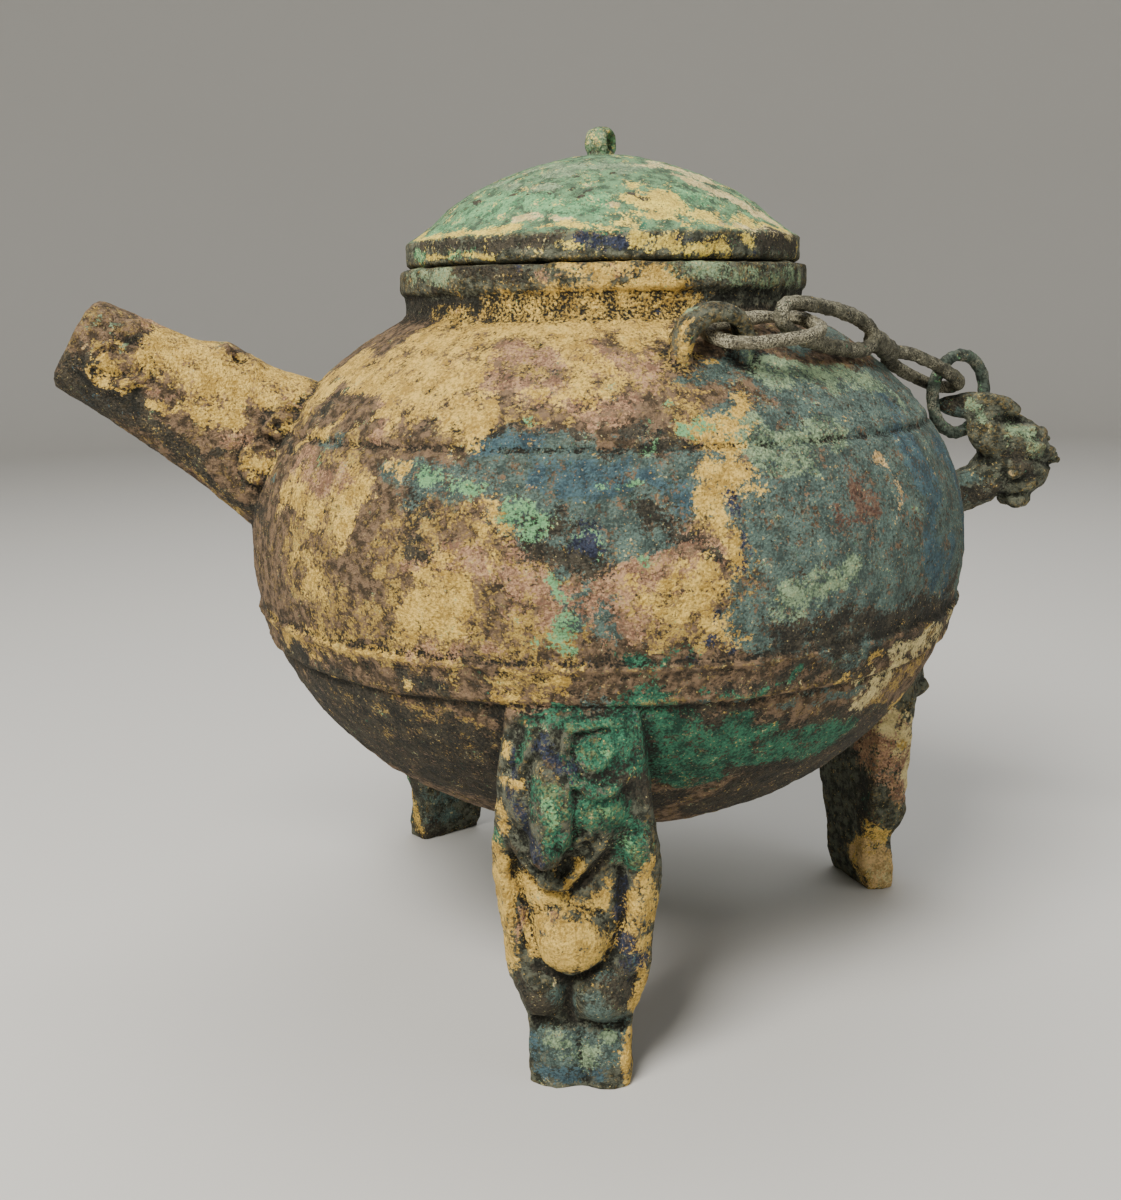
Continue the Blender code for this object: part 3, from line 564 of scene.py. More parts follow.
# %% Carve the spout's sides
SPOUT_DOMES = (
    (-133.5, 176.4, 7.6, 3.4, 1.2), (-131.0, 186.5, 9.5, 4.8, 0.8), (-136.0, 188.5, 3.0, 2.6, 1.0),
    (-129.0, 185.0, 2.6, 2.2, 1.0), (-125.5, 187.0, 2.4, 2.0, 0.8), (-133.0, 184.2, 2.2, 1.6, 0.9),
    (-100.8, 177.4, 2.6, 1.9, -2.0), (-96.7, 149.4, 3.2, 3.2, 1.4), (-90.3, 158.9, 1.3, 1.3, 0.8),
    (-82.0, 166.5, 3.0, 3.6, 0.8), (-88.0, 165.0, 1.6, 1.4, 0.9),
)
SPOUT_RIDGES = (
    (1.1, (-142.6, 176.4, 0.6), (-139.9, 173.2, 1.1), (-135.6, 171.8, 1.2), (-131.8, 171.2, 1.2),
     (-128.5, 171.4, 1.2), (-125.2, 172.8, 1.2), (-124.3, 175.8, 1.1), (-126.6, 179.1, 1.0),
     (-131.0, 181.0, 0.9), (-136.0, 181.9, 0.7), (-140.5, 181.0, 0.4)),
    (1.3, (-105.6, 178.6, 0.8), (-104.0, 180.2, 1.6), (-101.0, 180.6, 1.8), (-97.6, 178.6, 1.6),
     (-97.0, 174.6, 1.0)),
    (1.3, (-91.8, 156.2, 1.2), (-94.9, 158.3, 1.6), (-92.1, 161.5, 1.6), (-88.2, 160.8, 1.6),
     (-87.6, 157.6, 1.6), (-85.4, 158.0, 1.8), (-82.9, 161.9, 1.8), (-80.7, 165.8, 1.8),
     (-79.9, 169.1, 1.8), (-77.3, 169.0, 1.6), (-76.0, 165.7, 1.2)),
)
SPOUT_GROOVES = (
    (1.1, (-138.0, 175.0, 0.6), (-133.0, 173.6, 0.8), (-128.0, 174.4, 0.6)),
    (1.6, (-80.6, 160.6, 1.2), (-75.6, 161.6, 1.0)),
    (1.5, (-94.0, 155.0, 0.8), (-88.1, 153.4, 1.4), (-83.6, 155.4, 1.2), (-80.6, 160.6, 1.2)),
)
SPOUT_RINGS = ((-96.7, 149.4, 4.7, 1.0, 1.7), (-96.7, 149.4, 6.3, 1.0, -0.9))


# %% The beast head's teeth, jaw, eye and brow, in the same way
HOOK_DOMES = (
    (128.2, 150.4, 2.2, 1.7, 1.5), (131.8, 149.4, 1.7, 2.0, 1.7), (135.0, 143.9, 2.3, 1.8, 1.6),
    (137.4, 142.3, 1.5, 1.4, 1.4), (122.5, 137.3, 2.2, 1.8, 1.2), (130.2, 138.2, 2.0, 1.7, 1.4),
    (125.9, 128.7, 2.6, 2.0, 1.4), (116.0, 146.5, 3.6, 3.4, 1.2),
)
HOOK_RIDGES = (
    (1.7, (99.1, 159.3, 0.7), (110.0, 160.4, 1.3), (118.0, 159.0, 1.9), (122.1, 156.6, 1.9)),
    (1.2, (116.0, 151.0, 0.8), (124.0, 147.0, 1.3), (131.0, 145.6, 1.2)),
    (1.2, (117.0, 134.0, 0.8), (124.0, 132.0, 1.3), (130.0, 134.4, 1.1)),
)
HOOK_GROOVES = (
    (1.3, (119.0, 143.4, 0.9), (127.0, 141.8, 1.7), (137.0, 139.6, 1.9)),
    (1.1, (110.0, 154.6, 0.7), (119.0, 153.4, 1.5), (128.0, 153.6, 1.2)),
    (0.9, (119.4, 139.0, 0.7), (122.0, 134.6, 1.0), (125.8, 137.0, 0.8)),
)


def carve_sides(ob, name, near, rows):
    """Raises and sinks the sides of a piece along their normals."""
    places = points_of(ob)
    normals = normals_of(ob)
    x, z = (places[:, 0] - AXIS.x) / MM, places[:, 2] / MM
    here = near(x, z) * (np.abs(places[:, 1] - AXIS.y) < 0.032)
    here = here * smooth_step(np.abs(normals[:, 1]), 0.20, 0.45)
    rise = relief_at(x, z, *rows) * here
    put_points(ob, places + normals * (rise * MM)[:, None])
    print(name, "carved at", int((np.abs(rise) > 0.2).sum()), "points")


carve_sides(vessel, "spout", lambda x, z: smooth_step(-x, 71.0, 74.0),
            (SPOUT_DOMES, SPOUT_RIDGES, SPOUT_GROOVES, SPOUT_RINGS))
carve_sides(vessel, "hook", lambda x, z: smooth_step(x, 106.0, 109.0) * smooth_step(z, 122.0, 126.0),
            (HOOK_DOMES, HOOK_RIDGES, HOOK_GROOVES, ()))
applied(vessel, "SMOOTH", factor=0.5, iterations=1)

# %% [markdown]
# ## Corrosion
# Old bronze is never even. Crusts have swollen, soil has stuck to it, and pits have opened. Three
# Displace modifiers build this up from coarse to fine: slow swells, crusty lumps, and small pits.
# The grain below half a millimetre is left to the material's bump.

# %% Swells, lumps and pits


def cloud(name, size, depth=2, kind="CLOUDS"):
    """A noise texture whose lumps have about a given size."""
    texture = bpy.data.textures.new(name, kind)
    texture.noise_scale = size
    if kind == "CLOUDS":
        texture.noise_depth = depth
    return texture


def corroded(ob, swell=0.0007, lump=0.0008, pit=0.0005):
    """Roughens a skin with swells, lumps and pits."""
    applied(ob, "DISPLACE", texture=cloud("swell", 0.022), texture_coords="LOCAL",
            strength=swell, mid_level=0.5)
    applied(ob, "DISPLACE", texture=cloud("lump", 0.0048, 3), texture_coords="LOCAL",
            strength=lump, mid_level=0.5)
    applied(ob, "DISPLACE", texture=cloud("pit", 0.0020, 2), texture_coords="LOCAL",
            strength=pit, mid_level=0.5)
    return ob


corroded(vessel)

# %% [markdown]
# ## The hollow
# The skin is thinned where it can be, and then the hollow is cut out of it: the inside follows the
# outline at the wall's thickness, opens at the mouth, and runs out through the spout.

# %% Thin the skin
VESSEL_TRIANGLES = 184000


def thinned(ob, triangles):
    """Collapses edges until a skin has about a given number of triangles."""
    ob.data.calc_loop_triangles()
    ratio = min(1.0, triangles / len(ob.data.loop_triangles))
    return said(applied(ob, "DECIMATE", ratio=ratio))


thinned(vessel, VESSEL_TRIANGLES)

# %% Cut the hollow and the pouring channel
SPOUT_ROOT = AXIS + Vector((0.0295 - BODY_RADIUS, 0.0, BELLY_HEIGHT + 0.0140))
SPOUT_SLOPE = math.radians(30.6)
SPOUT_ALONG = Vector((-math.cos(SPOUT_SLOPE), 0.0, math.sin(SPOUT_SLOPE)))
SPOUT_LENGTH = 0.0848


def hollow_outline():
    """Outline of the inside, from above the mouth to the bowl's middle."""
    throat = (MOUTH_RADIUS / (BODY_RADIUS - WALL)) ** 2
    throat = BELLY_HEIGHT + (SHOULDER_RISE - WALL) * math.sqrt(1.0 - throat)
    rows = [(0.0, RIM_TOP + 0.004), (MOUTH_RADIUS, RIM_TOP + 0.004), (MOUTH_RADIUS, throat)]
    start = math.asin((throat - BELLY_HEIGHT) / (SHOULDER_RISE - WALL))
    for i in range(1, 30):
        turn = start + (-math.pi / 2 - start) * i / 30
        half = (SHOULDER_RISE if turn > 0 else BOWL_DROP) - WALL
        rows.append(((BODY_RADIUS - WALL) * math.cos(turn), BELLY_HEIGHT + half * math.sin(turn)))
    rows.append((0.0, BELLY_HEIGHT - BOWL_DROP + WALL))
    return rows


def spout_channel():
    """A tapered oval rod along the spout, a little past both of its ends."""
    first, last = -0.04, 1.04
    bpy.ops.object.select_all(action="DESELECT")
    bpy.ops.mesh.primitive_cone_add(vertices=32, radius1=0.0170, radius2=0.0088,
                                    depth=SPOUT_LENGTH * (last - first))
    rod = bpy.context.object
    rod.scale = (1.0, 0.80, 1.0)
    middle = SPOUT_ROOT + SPOUT_ALONG * SPOUT_LENGTH * (first + last) / 2
    over = Vector((math.sin(SPOUT_SLOPE), 0.0, math.cos(SPOUT_SLOPE)))
    turn = Matrix((over, SPOUT_ALONG.cross(over), SPOUT_ALONG)).transposed()
    rod.rotation_euler = turn.to_euler()
    rod.location = middle
    return named("spout_channel")


def carved_out(ob, cutter):
    """Cuts one closed form out of another and clears the cutter away."""
    applied(ob, "BOOLEAN", operation="DIFFERENCE", solver="MANIFOLD", object=cutter)
    bpy.data.objects.remove(cutter)


carved_out(vessel, spun("hollow", hollow_outline(), 96))
carved_out(vessel, spout_channel())
kept_inside(vessel)
only(vessel)
bpy.ops.object.shade_smooth_by_angle(angle=math.radians(60))
said(vessel)

# %% [markdown]
# ## The lid
# The lid is swept from a board as the body is: a low dome over a flat upright edge, hollow below,
# with a short lip that drops into the mouth. Its little loop is a short thick ring.

# %% Lid
LID_SEAT = RIM_TOP + 0.0003
LID_RADIUS = 0.0551
LID_EDGE_TOP = LID_SEAT + 0.0068
LID_RISE = 0.0234
DOME = ((1.0, 0.0), (0.94, 0.08), (0.85, 0.24), (0.776, 0.40), (0.66, 0.57), (0.52, 0.72),
        (0.36, 0.86), (0.18, 0.965), (0.0, 1.0))
LIP_RADIUS = MOUTH_RADIUS - 0.0006


def lid_outline():
    """Points of the lid's closed outline, from its top down its outer side and up its hollow."""
    rows = []
    for i in range(41):
        out = i / 40
        rise = float(np.interp(out, [r for r, _ in reversed(DOME)], [z for _, z in reversed(DOME)]))
        rows.append((LID_RADIUS * out, LID_EDGE_TOP + LID_RISE * rise))
    rows += [(LID_RADIUS, LID_SEAT + 0.0010), (LID_RADIUS - 0.0015, LID_SEAT), (LIP_RADIUS, LID_SEAT)]
    rows += [(LIP_RADIUS, LID_SEAT - 0.0030), (LIP_RADIUS - 0.0022, LID_SEAT - 0.0030)]
    top = LID_EDGE_TOP + LID_RISE - 0.0028
    for i in range(25):
        share = 1.0 - i / 24
        rows.append(((LIP_RADIUS - 0.0022) * share, LID_SEAT + (top - LID_SEAT) * math.sqrt(1 - share ** 2)))
    return rows


def lid_loop():
    """The broad ring on the lid's top, turned a little from the viewer."""
    apex = LID_EDGE_TOP + LID_RISE
    bpy.ops.object.select_all(action="DESELECT")
    bpy.ops.mesh.primitive_torus_add(
        location=AXIS + Vector((0, 0, apex + 0.0033)), rotation=(math.pi / 2, 0, math.radians(-125)),
        major_radius=0.0031, minor_radius=0.0014, major_segments=36, minor_segments=16)
    bpy.context.object.scale = (1.0, 1.0, 2.36)
    return named("lid_loop")


lid = spun("lid_skin", lid_outline(), 160)
lid = joined("lid_skin", [lid, lid_loop()])
remeshed(lid, 0.0008)
applied(lid, "SMOOTH", factor=0.5, iterations=2)
corroded(lid, 0.0006, 0.0005, 0.0004)
kept_inside(lid)
bpy.ops.object.shade_smooth()
said(lid)

# %% [markdown]
# ## The chain
# The links are forged wire, thick and uneven with rust. The solids already have each link in its
# place, closed round its neighbour, so a merged copy is remeshed finely, rounded off and pitted.

# %% Chain links and ring


def rusty_link(node):
    """A fine corroded copy of one chain solid."""
    link = merged_copy(node, node + "_skin")
    remeshed(link, 0.00045)
    applied(link, "SMOOTH", factor=0.5, iterations=6)
    applied(link, "DISPLACE", texture=cloud("wire_swell", 0.0075), texture_coords="LOCAL",
            strength=0.0007, mid_level=0.40)
    applied(link, "DISPLACE", texture=cloud("wire_pit", 0.0018, 3), texture_coords="LOCAL",
            strength=0.0006, mid_level=0.5)
    kept_inside(link)
    bpy.ops.object.shade_smooth()
    return said(link)


links = {node: rusty_link(node) for node in ("chain_link_a", "chain_link_b", "chain_ring")}

# %% [markdown]
# ## Shader arithmetic
# A finish is built from many small sums: noise plus nearness, turned into a mask, turned into a
# colour. Written with nodes alone these are hard to follow, so one small class wraps a socket and
# lets the sums be written as Python expressions.

# %% A field is a socket with arithmetic


class Field:
    """A value that varies over a surface."""

    def __init__(self, tree, socket):
        self.tree = tree
        self.socket = socket

    def node(self, kind, settings, inputs, output=0):
        """Makes a node, first its settings, then its sockets' values or links."""
        made = self.tree.nodes.new(kind)
        for key, value in settings.items():
            setattr(made, key, value)
        for key, value in inputs.items():
            if isinstance(value, Field):
                self.tree.links.new(value.socket, made.inputs[key])
            else:
                made.inputs[key].default_value = value
        return Field(self.tree, made.outputs[output])

    def sum(self, operation, first, second):
        return self.node("ShaderNodeMath", {"operation": operation}, {0: first, 1: second})

    def __add__(self, other):
        return self.sum("ADD", self, other)

    __radd__ = __add__

    def __sub__(self, other):
        return self.sum("SUBTRACT", self, other)

    def __rsub__(self, other):
        return self.sum("SUBTRACT", other, self)

    def __mul__(self, other):
        return self.sum("MULTIPLY", self, other)

    __rmul__ = __mul__

    def __truediv__(self, other):
        return self.sum("DIVIDE", self, other)

    def most(self, other):
        return self.sum("MAXIMUM", self, other)

    def smooth(self, low, high):
        """0 below low and 1 above high, with an even curve between them."""
        return self.node("ShaderNodeMapRange", {"interpolation_type": "SMOOTHSTEP"},
                         {"Value": self, "From Min": low, "From Max": high})

    def noise(self, size, detail=2.0, rough=0.5):
        """Noise over this place vector, with lumps of about a given size in mm."""
        return self.node("ShaderNodeTexNoise", {}, {"Vector": self, "Scale": 1.0 / size,
                                                    "Detail": detail, "Roughness": rough})

    def tint(self, under, over):
        """One colour where this mask is 0 and another where it is 1."""
        colours = {}
        for key, colour in ((6, under), (7, over)):
            colours[key] = colour if isinstance(colour, Field) else (*colour, 1.0)
        return self.node("ShaderNodeMix", {"data_type": "RGBA"}, {0: self, **colours}, 2)


def new_finish(name):
    """A material with its shader, and the place on the bronze in mm from the foot of the axis."""
    finish = bpy.data.materials.new(name)
    finish.use_nodes = True
    tree = finish.node_tree
    shader = tree.nodes["Principled BSDF"]
    start = Field(tree, None)
    place = start.node("ShaderNodeTexCoord", {}, {}, 3)
    place = start.node("ShaderNodeVectorMath", {"operation": "SUBTRACT"}, {0: place, 1: AXIS})
    place = start.node("ShaderNodeVectorMath", {"operation": "SCALE"}, {0: place, "Scale": 1000.0})
    return finish, shader, place


def set_shader(shader, colour, rough, height, deep):
    """Feeds the shader: colour, roughness, and a bump whose height is in mm."""
    tree = shader.id_data
    tree.links.new(colour.socket, shader.inputs["Base Color"])
    tree.links.new(rough.socket, shader.inputs["Roughness"])
    bump = height.node("ShaderNodeBump", {}, {"Strength": 1.0, "Distance": deep, "Height": height})
    tree.links.new(bump.socket, shader.inputs["Normal"])
    shader.inputs["Metallic"].default_value = 0.05
    shader.inputs["Specular IOR Level"].default_value = 0.30


print("noise and masks ready")

# %% [markdown]
# ## Where each colour lies
# The ground has left this bronze in layers: brown and mauve on the spout's side, teal and slate
# blue on the hook's side, with green, navy and rust over them and ochre earth on top. Each row
# below is one stroke of a colour, laid as a painter would. Five numbers are a stroke on the
# round body: azimuth and height of both ends, then its reach, in degrees and mm. Seven numbers
# also give each end's distance from the axis, for strokes on the spout, legs, rim and lid.
# The darkest colour is partly the bronze's own dark patina and partly painted shade: low on the bowl, under the
# bears' bellies and towards the bottom of the back. The thin pale lines along the band's top and foot ridges are
# a painted highlight.

# %% Strokes on the vessel
VESSEL_MARKS = {
    "ochre": (
        (-145, 182, -91, 186, 8.9), (-110, 183, 61, -85, 190, 55, 7.4), (-92, 180, -88, 184, 5.8),
        (-165, 175, -134, 171, 8.2), (-141, 173, -125, 174, 7.6), (-124, 171, -119, 164, 5.3),
        (-137, 164, -119, 164, 3.7), (-136, 167, -107, 167, 2.2), (-103, 171, -104, 169, 3.5),
        (-109, 180, -99, 172, 3.6), (-132, 155, -130, 152, 3.6), (-139, 147, -139, 140, 5.3),
        (-117, 145, -114, 138, 3.8), (-147, 125, -145, 118, 3.3), (-122, 130, -121, 117, 5.5),
        (-127, 118, -119, 124, 5.6), (-86, 153, -82, 152, 4.3), (-80, 155, -82, 146, 4.1),
        (-85, 150, -85, 139, 4.5), (-84, 142, -83, 129, 3.4), (-86, 133, -83, 132, 3.1),
        (-86, 162, -79, 160, 3.9), (-78, 167, -79, 158, 3.3), (-85, 168, -85, 167, 3.7),
        (-88, 127, -84, 119, 3.8), (-94, 126, -89, 122, 4.4),
        (-69, 102, -57, 103, 1.9), (-114, 103, -107, 103, 2.5),
        (-164, 106, -144, 106, 1.9), (-144, 106, -114, 109, 1.5), (-150, 160, -159, 156, 2.3),
        (-162, 167, -158, 166, 1.8), (-155, 144, -146, 140, 5.2), (-111, 198, 57, -106, 196, 57, 2.5),
        (-103, 197, 57, -100, 195, 57, 2.8), (-95, 197, 57, -86, 196, 57, 2.3),
        (-153, 189, 55, -145, 189, 55, 1.8), (-118, 190, 55, -107, 190, 55, 2.4),
        (-106, 186, 57, -81, 188, 56, 3.5), (-136, 189, 55, -131, 188, 56, 1.2),
        (-86, 179, 77, -79, 176, 73, 2.3), (-86, 181, 75, -84, 185, 76, 1), (-41, 84, 88, 0, 53, 95, 3),
        (5, 13, 84, 5, 2, 97, 7), (3, 22, 86, 4, 19, 91, 3.5), (125, 17, 100, 125, 4, 98, 2.6),
        # The thin lines here at 108 to 109 mm and at 99.5 mm run along the band's top and foot ridges as a
        # painted highlight.
        (-166, 109, -120, 108.5, 1.4), (-118, 108, -104, 108, 1.2),
        (-150, 99.5, -128, 99.5, 1), (-128, 187, 55, -80, 188, 55, 5),
        (-124, 192, 55, -84, 193, 55, 3.4), (-150, 186, 56, -126, 187, 56, 2.4),
        (-127, 184, -90, 183, 3.6),
    ),
    "peach": (
        # The thin lines at 108 to 109 mm and at 99.5 mm run along the band's top and foot ridges as a painted
        # highlight.
        (-57, 102, -33, 104, 3.4), (-58, 91, -50, 100, 5), (-44, 108, -20, 109, 1.6), (-60, 99.5, -30, 99.5, 1.8),
        (4, 60, 90, 4, 43, 98, 8), (4, 8, 90, 4, 2, 98, 5.5),
    ),
    "earthy": (
        (-144, 149, -148, 129, 12.4), (-125, 133, -111, 120, 16.1), (-142, 115, -124, 111, 9.9),
        (-96, 129, -89, 120, 10.2), (-142, 181, -93, 176, 15.5), (-134, 163, -107, 164, 4.8),
        (-106, 109, -112, 103, 6.8), (-85, 163, -83, 124, 7.9), (-52, 92, -41, 103, 10.4),
        (-145, 92, -121, 87, 10.3), (-130, 189, 55, -80, 190, 55, 6), (5, 10, 88, 5, 3, 96, 7),
    ),
    "rose": (
        (-121, 178, -105, 178, 5.9), (-108, 177, -93, 173, 5.8), (-134, 177, -118, 172, 4.5),
        (-118, 170, -101, 167, 4.7), (-135, 159, -134, 162, 3.4), (-142, 167, -136, 167, 3.2),
        (-110, 134, -107, 125, 5.8), (-101, 125, -89, 133, 7.1), (-89, 137, -96, 131, 5.3),
        (-100, 115, -93, 120, 4), (-116, 133, -124, 132, 5.4), (-143, 149, -154, 150, 5.9),
        (-114, 113, -126, 109, 4.1), (-92, 169, -101, 162, 3.7), (-83, 162, -87, 161, 2.1),
        (-117, 197, 57, -111, 196, 57, 1.8), (-98, 196, 57, -87, 195, 57, 2),
        (-106, 197, 57, -103, 197, 57, 1.5), (-95, 189, 55, -88, 188, 55, 1.8),
        (4, 60, 86, 4, 38, 97, 10),
    ),
    "teal": (
        (-133, 152, -121, 148, 5.2), (-125, 150, -112, 153, 5.1), (-115, 153, -88, 152, 10),
        (-107, 144, -95, 142, 7.6), (-100, 134, -105, 125, 3.8), (-98, 159, -88, 158, 3.2),
        (-77, 158, -46, 155, 14), (-77, 145, -43, 140, 13.8), (-77, 130, -45, 122, 13.7),
        (-80, 119, -63, 111, 8.2), (-83, 173, -70, 175, 6.2), (-68, 170, -39, 163, 8.3),
        (-35, 146, -38, 123, 7.6), (-119, 161, -88, 158, 2.3), (-151, 157, -147, 158, 2.6),
        (124, 8, 92, 119, 8, 91, 4.4), (-46, 155, -6, 150, 14), (-46, 140, -6, 138, 14),
        (-46, 122, -6, 120, 12), (-42, 168, -4, 168, 9), (-60, 179, -14, 181, 5), (-104, 100, -60, 96, 2),
        (-113, 142, -92, 138, 5.5), (-104, 132, -99, 114, 4),
    ),
    "blue": (
        (-117, 159, -111, 158, 3), (-107, 151, -98, 153, 5.4), (-106, 146, -101, 148, 4),
        (-46, 155, -46, 125, 6.7), (-46, 164, -43, 158, 3.6), (-39, 128, -42, 116, 3.7),
        (-94, 153, -89, 146, 3.6), (-30, 150, -26, 125, 7), (-12, 155, -14, 130, 6),
    ),
    "pale_green": (
        (-79, 160, -71, 155, 6), (-75, 153, -65, 157, 5.1), (-70, 174, -42, 167, 4.9),
        (-74, 122, -66, 130, 4.6), (-165, 198, 57, -144, 197, 57, 2.8), (-83, 197, 57, -33, 195, 57, 3),
        (-84, 190, 55, -84, 188, 72, 2.7), (-72, 175, -69, 174, 1.5), (-4, 152, 122, -5, 145, 130, 3.1),
        (-4, 158, 108, -5, 155, 112, 2.3),
    ),
    "mint": (
        (-125, 151, -119, 149, 3.3), (-122, 147, -121, 148, 2.3), (-113, 142, -110, 139, 3.4),
        (-112, 145, -111, 143, 2), (-100, 136, -100, 134, 2), (-97, 145, -97, 144, 1.8),
        (-110, 163, -109, 162, 1.6), (-94, 134, -93, 133, 1.6), (-106, 129, -105, 124, 2),
        (-106, 122, -105, 119, 2.2), (-108, 116, -106, 113, 2.2), (-85, 164, -81, 163, 2.1),
        (-88, 164, -88, 162, 2.3), (-94, 162, -94, 159, 1.4), (-148, 156, -147, 154, 2),
        (-101, 149, -95, 151, 1.8), (-102, 140, -104, 137, 1.8), (-123, 187, -121, 186, 1.4),
        (-85, 182, 78, -84, 181, 77, 0.9), (-81, 179, -81, 178, 1.5),
    ),
    "green": (
        (-98, 110, -88, 111, 2.7), (-96, 105, -80, 101, 3), (-101, 108, -96, 109, 1.6),
        (-83, 101, -75, 103, 1.9), (-96, 96, -84, 74, 8.3), (-83, 87, -61, 80, 8.2),
        (-106, 108, -105, 108, 1.6), (4, 31, 90, 4, 27, 93, 4.6),
    ),
    "navy": (
        (-70, 169, -66, 166, 1.9), (-73, 169, -70, 167, 1.7), (-81, 146, -83, 124, 1.8),
        (-82, 143, -81, 133, 1.6), (-83, 123, -85, 114, 2), (-88, 111, -86, 109, 1.6),
        (-74, 105, -70, 104, 1.2), (-79, 155, -79, 154, 1.2), (-103, 140, -99, 134, 2.7),
        (-88, 124, -89, 110, 1.6), (-57, 170, -59, 171, 1), (-122, 199, 57, -121, 198, 57, 0.8),
        (-87, 187, -85, 185, 1),
    ),
    # The darkest colour: dark patina, and painted shade low on the bowl where the light falls off under the body.
    "dark_patina_and_shade": (
        (-108, 137, -100, 133, 4.9), (-154, 168, -146, 170, 2.6), (-119, 162, -87, 159, 2.1),
        (-88, 133, -85, 128, 1.8), (-95, 142, -89, 138, 3.6), (-150, 93, -119, 81, 13.1),
        (-158, 102, -146, 95, 5.4), (-130, 100, -115, 100, 2.9), (-77, 92, -53, 71, 5.8),
        (-124, 136, -128, 146, 3.2), (-165, 124, -169, 106, 2.2), (-169, 155, -155, 154, 1.4),
        (-159, 165, -150, 162, 1.6), (-140, 198, 57, -120, 197, 57, 2.6), (-171, 190, 56, -130, 189, 56, 2.4),
        (-115, 191, 55, -95, 192, 55, 1.3), (-157, 195, 57, -149, 195, 57, 1.4),
        (-3, 131, 108, -3, 132, 118, 3.2), (-2, 157, 102, -3, 158, 105, 2.7),
        (-5, 143, 122, -5, 138, 127, 2.7), (4, 37, 86, 4, 24, 86, 5), (4, 36, 96, 4, 26, 97, 2.4),
        # These broad strokes low on the bowl are painted shade over dark patina.
        (-168, 84, -124, 70, 13), (-124, 82, -96, 66, 12), (-96, 88, -26, 70, 14), (-70, 62, 10, 62, 16),
        (-84, 104, -24, 103, 3.4), (-76, 114, -36, 112, 6), 
        (-168, 92, -130, 84, 7), (-20, 122, -4, 120, 9),
    ),
    "rust": (
        (-63, 148, -62, 139, 4.1), (-66, 145, -65, 140, 2.1), (-2, 139, 121, -2, 135, 124, 2.6),
    ),
    "orange": (
        (-56, 152, -53, 149, 2.2), (-54, 149, -56, 137, 1.7), (-66, 163, -66, 163, 0.5),
        (-55, 164, -55, 164, 0.5), (-169, 165, -164, 165, 0.8), (-4, 137, 121, -4, 137, 122, 1.4),
        (5, 12, 86, 5, 2, 98, 8),
    ),
}

# %% Strokes on the sides of the spout: forward and up from the axis, in mm
SPOUT_MARKS = {
    "ochre": (
        (-117, 183, -107, 180, 3), (-111, 178, -106, 173, 2.7), (-117, 166, -112, 162, 2.4),
        (-124, 166, -121, 164, 2.3), (-108, 166, -100, 163, 3), (-95, 176, -88, 171, 2.5),
        (-88, 171, -82, 172, 1.8), (-97, 170, -92, 167, 1.5), (-92, 158, -88, 160, 1.2),
        (-79, 170, -78, 166, 1.3), (-97, 150, -96, 149, 1.9), (-138, 177, -131, 173, 1.6),
        (-128, 178, -133, 181, 0.8), (-142, 176, -136, 172, 0.5), (-136, 172, -129, 171, 0.5),
        (-129, 171, -123, 174, 0.5), (-91, 165, -89, 165, 1), (-84, 164, -82, 166, 0.8),
        (-140, 191, -134, 193, 0.6), (-122, 179, -92, 168, 4.4), (-115, 169, -100, 160, 3),
        (-97, 150, -96, 149, 4.2), (-88, 172, -76, 168, 3),
    ),
    "earthy": (
        (-123, 156, -102, 135, 3.6), (-120, 178, -85, 165, 6.7), (-139, 179, -127, 176, 2.4),
        (-124, 190, -118, 185, 1.8),
    ),
    "rose": (
        (-118, 177, -114, 174, 2.4), (-125, 171, -121, 170, 1.9), (-106, 171, -104, 169, 2.2),
        (-97, 168, -93, 169, 1.5), (-107, 158, -100, 156, 2.8), (-113, 169, -111, 167, 1.3),
        (-126, 188, -120, 183, 2.5), (-87, 168, -83, 166, 1.1),
    ),
    "pale_green": (
        (-139, 188, -142, 183, 1.5), (-130, 179, -129, 180, 1.2), (-107, 179, -105, 180, 0.8),
        (-94, 177, -88, 174, 1.1), (-84, 173, -78, 172, 1.5), (-131, 185, -135, 186, 1.2),
    ),
    "dark_patina_and_shade": (
        (-145, 172, -137, 166, 3.2), (-137, 167, -128, 161, 3.5), (-128, 182, -124, 183, 1.3),
        (-134, 183, -131, 180, 0.8), (-102, 179, -99, 179, 1.1), (-113, 154, -109, 155, 1.3),
        (-93, 155, -83, 155, 1.2), (-81, 162, -76, 162, 1.2), (-123, 158, -115, 150, 1.6),
        (-147, 174, -148, 172, 1.2), (-99, 145, -92, 147, 0.8), (-149, 173, -130, 163, 7.6),
        (-134, 163, -118, 152, 4.6), (-116, 150, -96, 133, 2.6),
    ),
    "blue": (
        (-146, 177, -146, 174, 1.1), (-143, 171, -134, 166, 1.2), (-140, 168, -128, 160, 1.6),
    ),
    "teal": (
        (-79, 156, -78, 153, 1.3), (-90, 145, -91, 143, 0.7), (-90, 173, -89, 173, 0.6),
    ),
    "orange": (
        (-144, 180, -143, 179, 0.9), (-90, 165, -89, 165, 0.5),
    ),
    "rust": (
        (-139, 178, -142, 177, 0.8), (-119, 148, -114, 143, 1),
    ),
}

